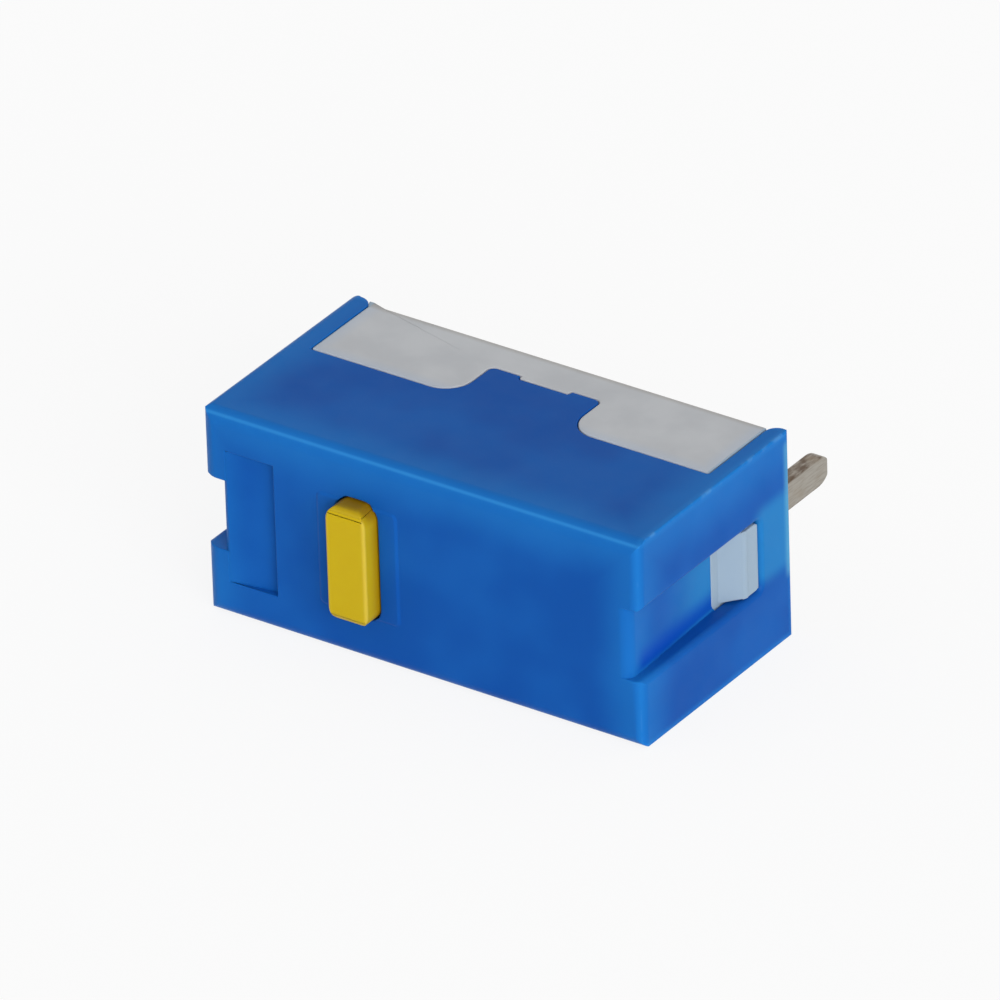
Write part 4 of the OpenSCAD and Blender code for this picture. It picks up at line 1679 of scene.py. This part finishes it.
@dataclass
class Contacts:
    """Rivet in the spring and the two fixed buttons, all turned shapes."""

    moving_h: float = 0.24
    shank_r: float = 0.2
    dome_r: float = 1.5
    dome_rim_r: float = 0.03
    head_rim_r: tuple[float, float] = (0.05, 0.02)
    gap: float = 0.02
    travel: float = 0.45
    nc_back: float = 1.14
    no_back: float = 2.94
    finish: ContactSilver = field(default_factory=ContactSilver)

    def button(self, face: float, back: float) -> bpy.types.Mesh:
        """Fixed button: a dome of the given radius over a short wall with rounded corners.

        Args:
            face: Depth of the top of its dome.
            back: Depth of its flat back.

        Returns:
            Closed mesh.
        """
        sign, r, dome, rim = math.copysign(1, back - face), SIZES.contact_r, self.dome_r, self.dome_rim_r
        out = np.linspace(0, r - rim, 12)
        depth = face + sign * (dome - np.sqrt(dome ** 2 - out ** 2))
        turn = np.linspace(0, np.pi / 2, 6)[1:]
        wall = np.stack([r - rim + rim * np.sin(turn), depth[-1] + sign * rim * (1 - np.cos(turn))], 1)
        profile = np.concatenate([np.stack([out, depth], 1), wall, [(r, back), (0, back)]])
        return lathe(profile, SIZES.contact_x)

    def rivet(self) -> bpy.types.Mesh:
        """Moving contact: two heads with rounded rims on one shank through the spring.

        Returns:
            Closed mesh.
        """
        d, r, (outer, inner) = SIZES, SIZES.contact_r, self.head_rim_r
        under, over = d.spring_y, d.spring_y + d.spring_t
        low, high = under - self.moving_h, over + self.moving_h
        half = fillet([(0, low, 0), (r, low, outer), (r, under, inner), (self.shank_r, under, 0),
                       (self.shank_r, over, 0), (r, over, inner), (r, high, outer), (0, high, 0)], 5)
        order = np.argmin(np.abs(half[:, 0]) + np.abs(half[:, 1] - low))
        return lathe(np.roll(half, -order, axis=0), d.contact_x)

    def build(self) -> None:
        """Builds and dresses the three contacts."""
        d = SIZES
        silver = self.finish.material()
        swing = math.asin(self.travel / (d.hinge_x - d.plunger_x))
        drop = (d.hinge_x - d.contact_x + d.contact_r) * math.sin(swing)
        nc_face = d.spring_y - self.moving_h - self.gap
        no_face = d.spring_y + d.spring_t + drop + self.moving_h
        for name, body, shape in (("moving_contact", Body.ARM, self.rivet()),
                                  ("no_contact", Body.CASE, self.button(no_face, self.no_back)),
                                  ("nc_contact", Body.CASE, self.button(nc_face, self.nc_back))):
            shape.polygons.foreach_set("use_smooth", np.ones(len(shape.polygons), dtype=bool))
            shape.set_sharp_from_angle(angle=math.radians(40))
            place(name + "_button", shape, body, name, silver)


# ---- Studio ----


@dataclass
class Studio:
    """Pale floor, soft light and the camera."""

    azimuth: float = 35.291
    elevation: float = 30.172
    roll: float = -1.899
    distance: float = 0.4234
    lens: float = 632.0
    shift: tuple[float, float] = (0.00688, 0.02202)
    aim: tuple[float, float, float] = (0.0, -0.001425, 0.00285)
    floor_half: float = 0.5
    sky: float = 0.58
    key: float = 2.9
    key_from: Colour = (0.78, -0.59, 0.21)
    key_spread: float = 50.0
    fill: float = 0.1
    fill_from: Colour = (-0.45, -0.5, 0.74)
    fill_spread: float = 40.0
    paper: Colour = (0.9, 0.9, 0.9)
    floor_share: float = 0.86

    def camera(self) -> None:
        """Camera turned by azimuth, elevation and roll round the point it aims at."""
        a, e, r = (math.radians(v) for v in (self.azimuth, self.elevation, self.roll))
        back = Vector((math.sin(a) * math.cos(e), -math.cos(a) * math.cos(e), math.sin(e)))
        right = Vector((0, 0, 1)).cross(back).normalized()
        up = back.cross(right)
        x = math.cos(r) * right + math.sin(r) * up
        y = -math.sin(r) * right + math.cos(r) * up
        data = bpy.data.cameras.new("camera")
        data.lens, data.sensor_width, data.sensor_fit = self.lens, 36.0, "HORIZONTAL"
        data.shift_x, data.shift_y = self.shift
        data.clip_start, data.clip_end = 0.05, 20.0
        camera = bpy.data.objects.new("camera", data)
        place_at = Vector(self.aim) + back * self.distance
        camera.matrix_world = Matrix((x, y, back)).transposed().to_4x4()
        camera.matrix_world.translation = place_at
        bpy.context.scene.collection.objects.link(camera)
        bpy.context.scene.camera = camera

    def white(self, tree: bpy.types.NodeTree, shader: bpy.types.Node, share: float) -> bpy.types.Node:
        """Shader that is white at a strength of 1 for rays from the camera, gloss and clear pieces.

        Args:
            tree: Node tree of the world or the material.
            shader: Shader that all other rays meet.
            share: How much of the white those rays see.

        Returns:
            The node that mixes the two.
        """
        path = tree.nodes.new("ShaderNodeLightPath")
        seen = path.outputs["Is Camera Ray"]
        for ray in ("Is Glossy Ray", "Is Transmission Ray"):
            either = tree.nodes.new("ShaderNodeMath")
            either.operation = "MAXIMUM"
            tree.links.new(seen, either.inputs[0])
            tree.links.new(path.outputs[ray], either.inputs[1])
            seen = either.outputs[0]
        scale = tree.nodes.new("ShaderNodeMath")
        scale.operation = "MULTIPLY"
        scale.inputs[1].default_value = share
        tree.links.new(seen, scale.inputs[0])
        white = tree.nodes.new("ShaderNodeBackground" if shader.type == "BACKGROUND"
                               else "ShaderNodeEmission")
        white.inputs["Color"].default_value = (1, 1, 1, 1)
        white.inputs["Strength"].default_value = 1.0
        mix = tree.nodes.new("ShaderNodeMixShader")
        tree.links.new(scale.outputs[0], mix.inputs[0])
        tree.links.new(shader.outputs[0], mix.inputs[1])
        tree.links.new(white.outputs[0], mix.inputs[2])
        return mix

    def world(self) -> None:
        """Even sky for the object, white behind it."""
        world = bpy.data.worlds.new("studio")
        world.use_nodes = True
        tree = world.node_tree
        tree.nodes.clear()
        sky = tree.nodes.new("ShaderNodeBackground")
        sky.inputs["Color"].default_value = (1, 1, 1, 1)
        sky.inputs["Strength"].default_value = self.sky
        output = tree.nodes.new("ShaderNodeOutputWorld")
        tree.links.new(self.white(tree, sky, 1.0).outputs[0], output.inputs["Surface"])
        bpy.context.scene.world = world

    def floor(self) -> None:
        """White floor under the switch."""
        h = self.floor_half
        mesh = bpy.data.meshes.new("floor")
        mesh.from_pydata([(-h, -h, 0), (h, -h, 0), (h, h, 0), (-h, h, 0)], [], [(0, 1, 2, 3)])
        material = bpy.data.materials.new("floor")
        material.use_nodes = True
        tree = material.node_tree
        tree.nodes.clear()
        paper = tree.nodes.new("ShaderNodeBsdfDiffuse")
        paper.inputs["Color"].default_value = (*self.paper, 1)
        output = tree.nodes.new("ShaderNodeOutputMaterial")
        tree.links.new(self.white(tree, paper, self.floor_share).outputs[0], output.inputs["Surface"])
        mesh.materials.append(material)
        floor = bpy.data.objects.new("floor", mesh)
        bpy.context.scene.collection.objects.link(floor)

    def lamp(self, name: str, strength: float, source: Colour, spread: float) -> None:
        """Broad even lamp that shines from a direction, spread degrees wide.

        Args:
            name: Lamp's name.
            strength: Its strength.
            source: Direction that its light comes from.
            spread: How wide it looks, in degrees.
        """
        data = bpy.data.lights.new(name, "SUN")
        data.energy, data.angle = strength, math.radians(spread)
        lamp = bpy.data.objects.new(name, data)
        lamp.rotation_euler = Vector(source).to_track_quat("Z", "Y").to_euler()
        bpy.context.scene.collection.objects.link(lamp)

    def build(self) -> None:
        """Sets up the camera, the world, the floor and the lamps."""
        self.camera()
        self.world()
        self.floor()
        self.lamp("key", self.key, self.key_from, self.key_spread)
        self.lamp("fill", self.fill, self.fill_from, self.fill_spread)
        bpy.context.scene.view_settings.view_transform = "Standard"
        log.info("studio: camera, world, floor and 2 lamps")


def main() -> None:
    """Builds each sub-assembly in order."""
    logging.basicConfig(level=logging.INFO, format="%(name)s %(message)s")
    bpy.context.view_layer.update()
    Cover().build()
    strips = Terminals().build()
    Base().build(strips)
    Plunger().build()
    Seal().build()
    ContactSpring().build()
    Contacts().build()
    Studio().build()
    for mesh in [m for m in bpy.data.meshes if not m.users]:
        bpy.data.meshes.remove(mesh)


if __name__ == "__main__":
    main()
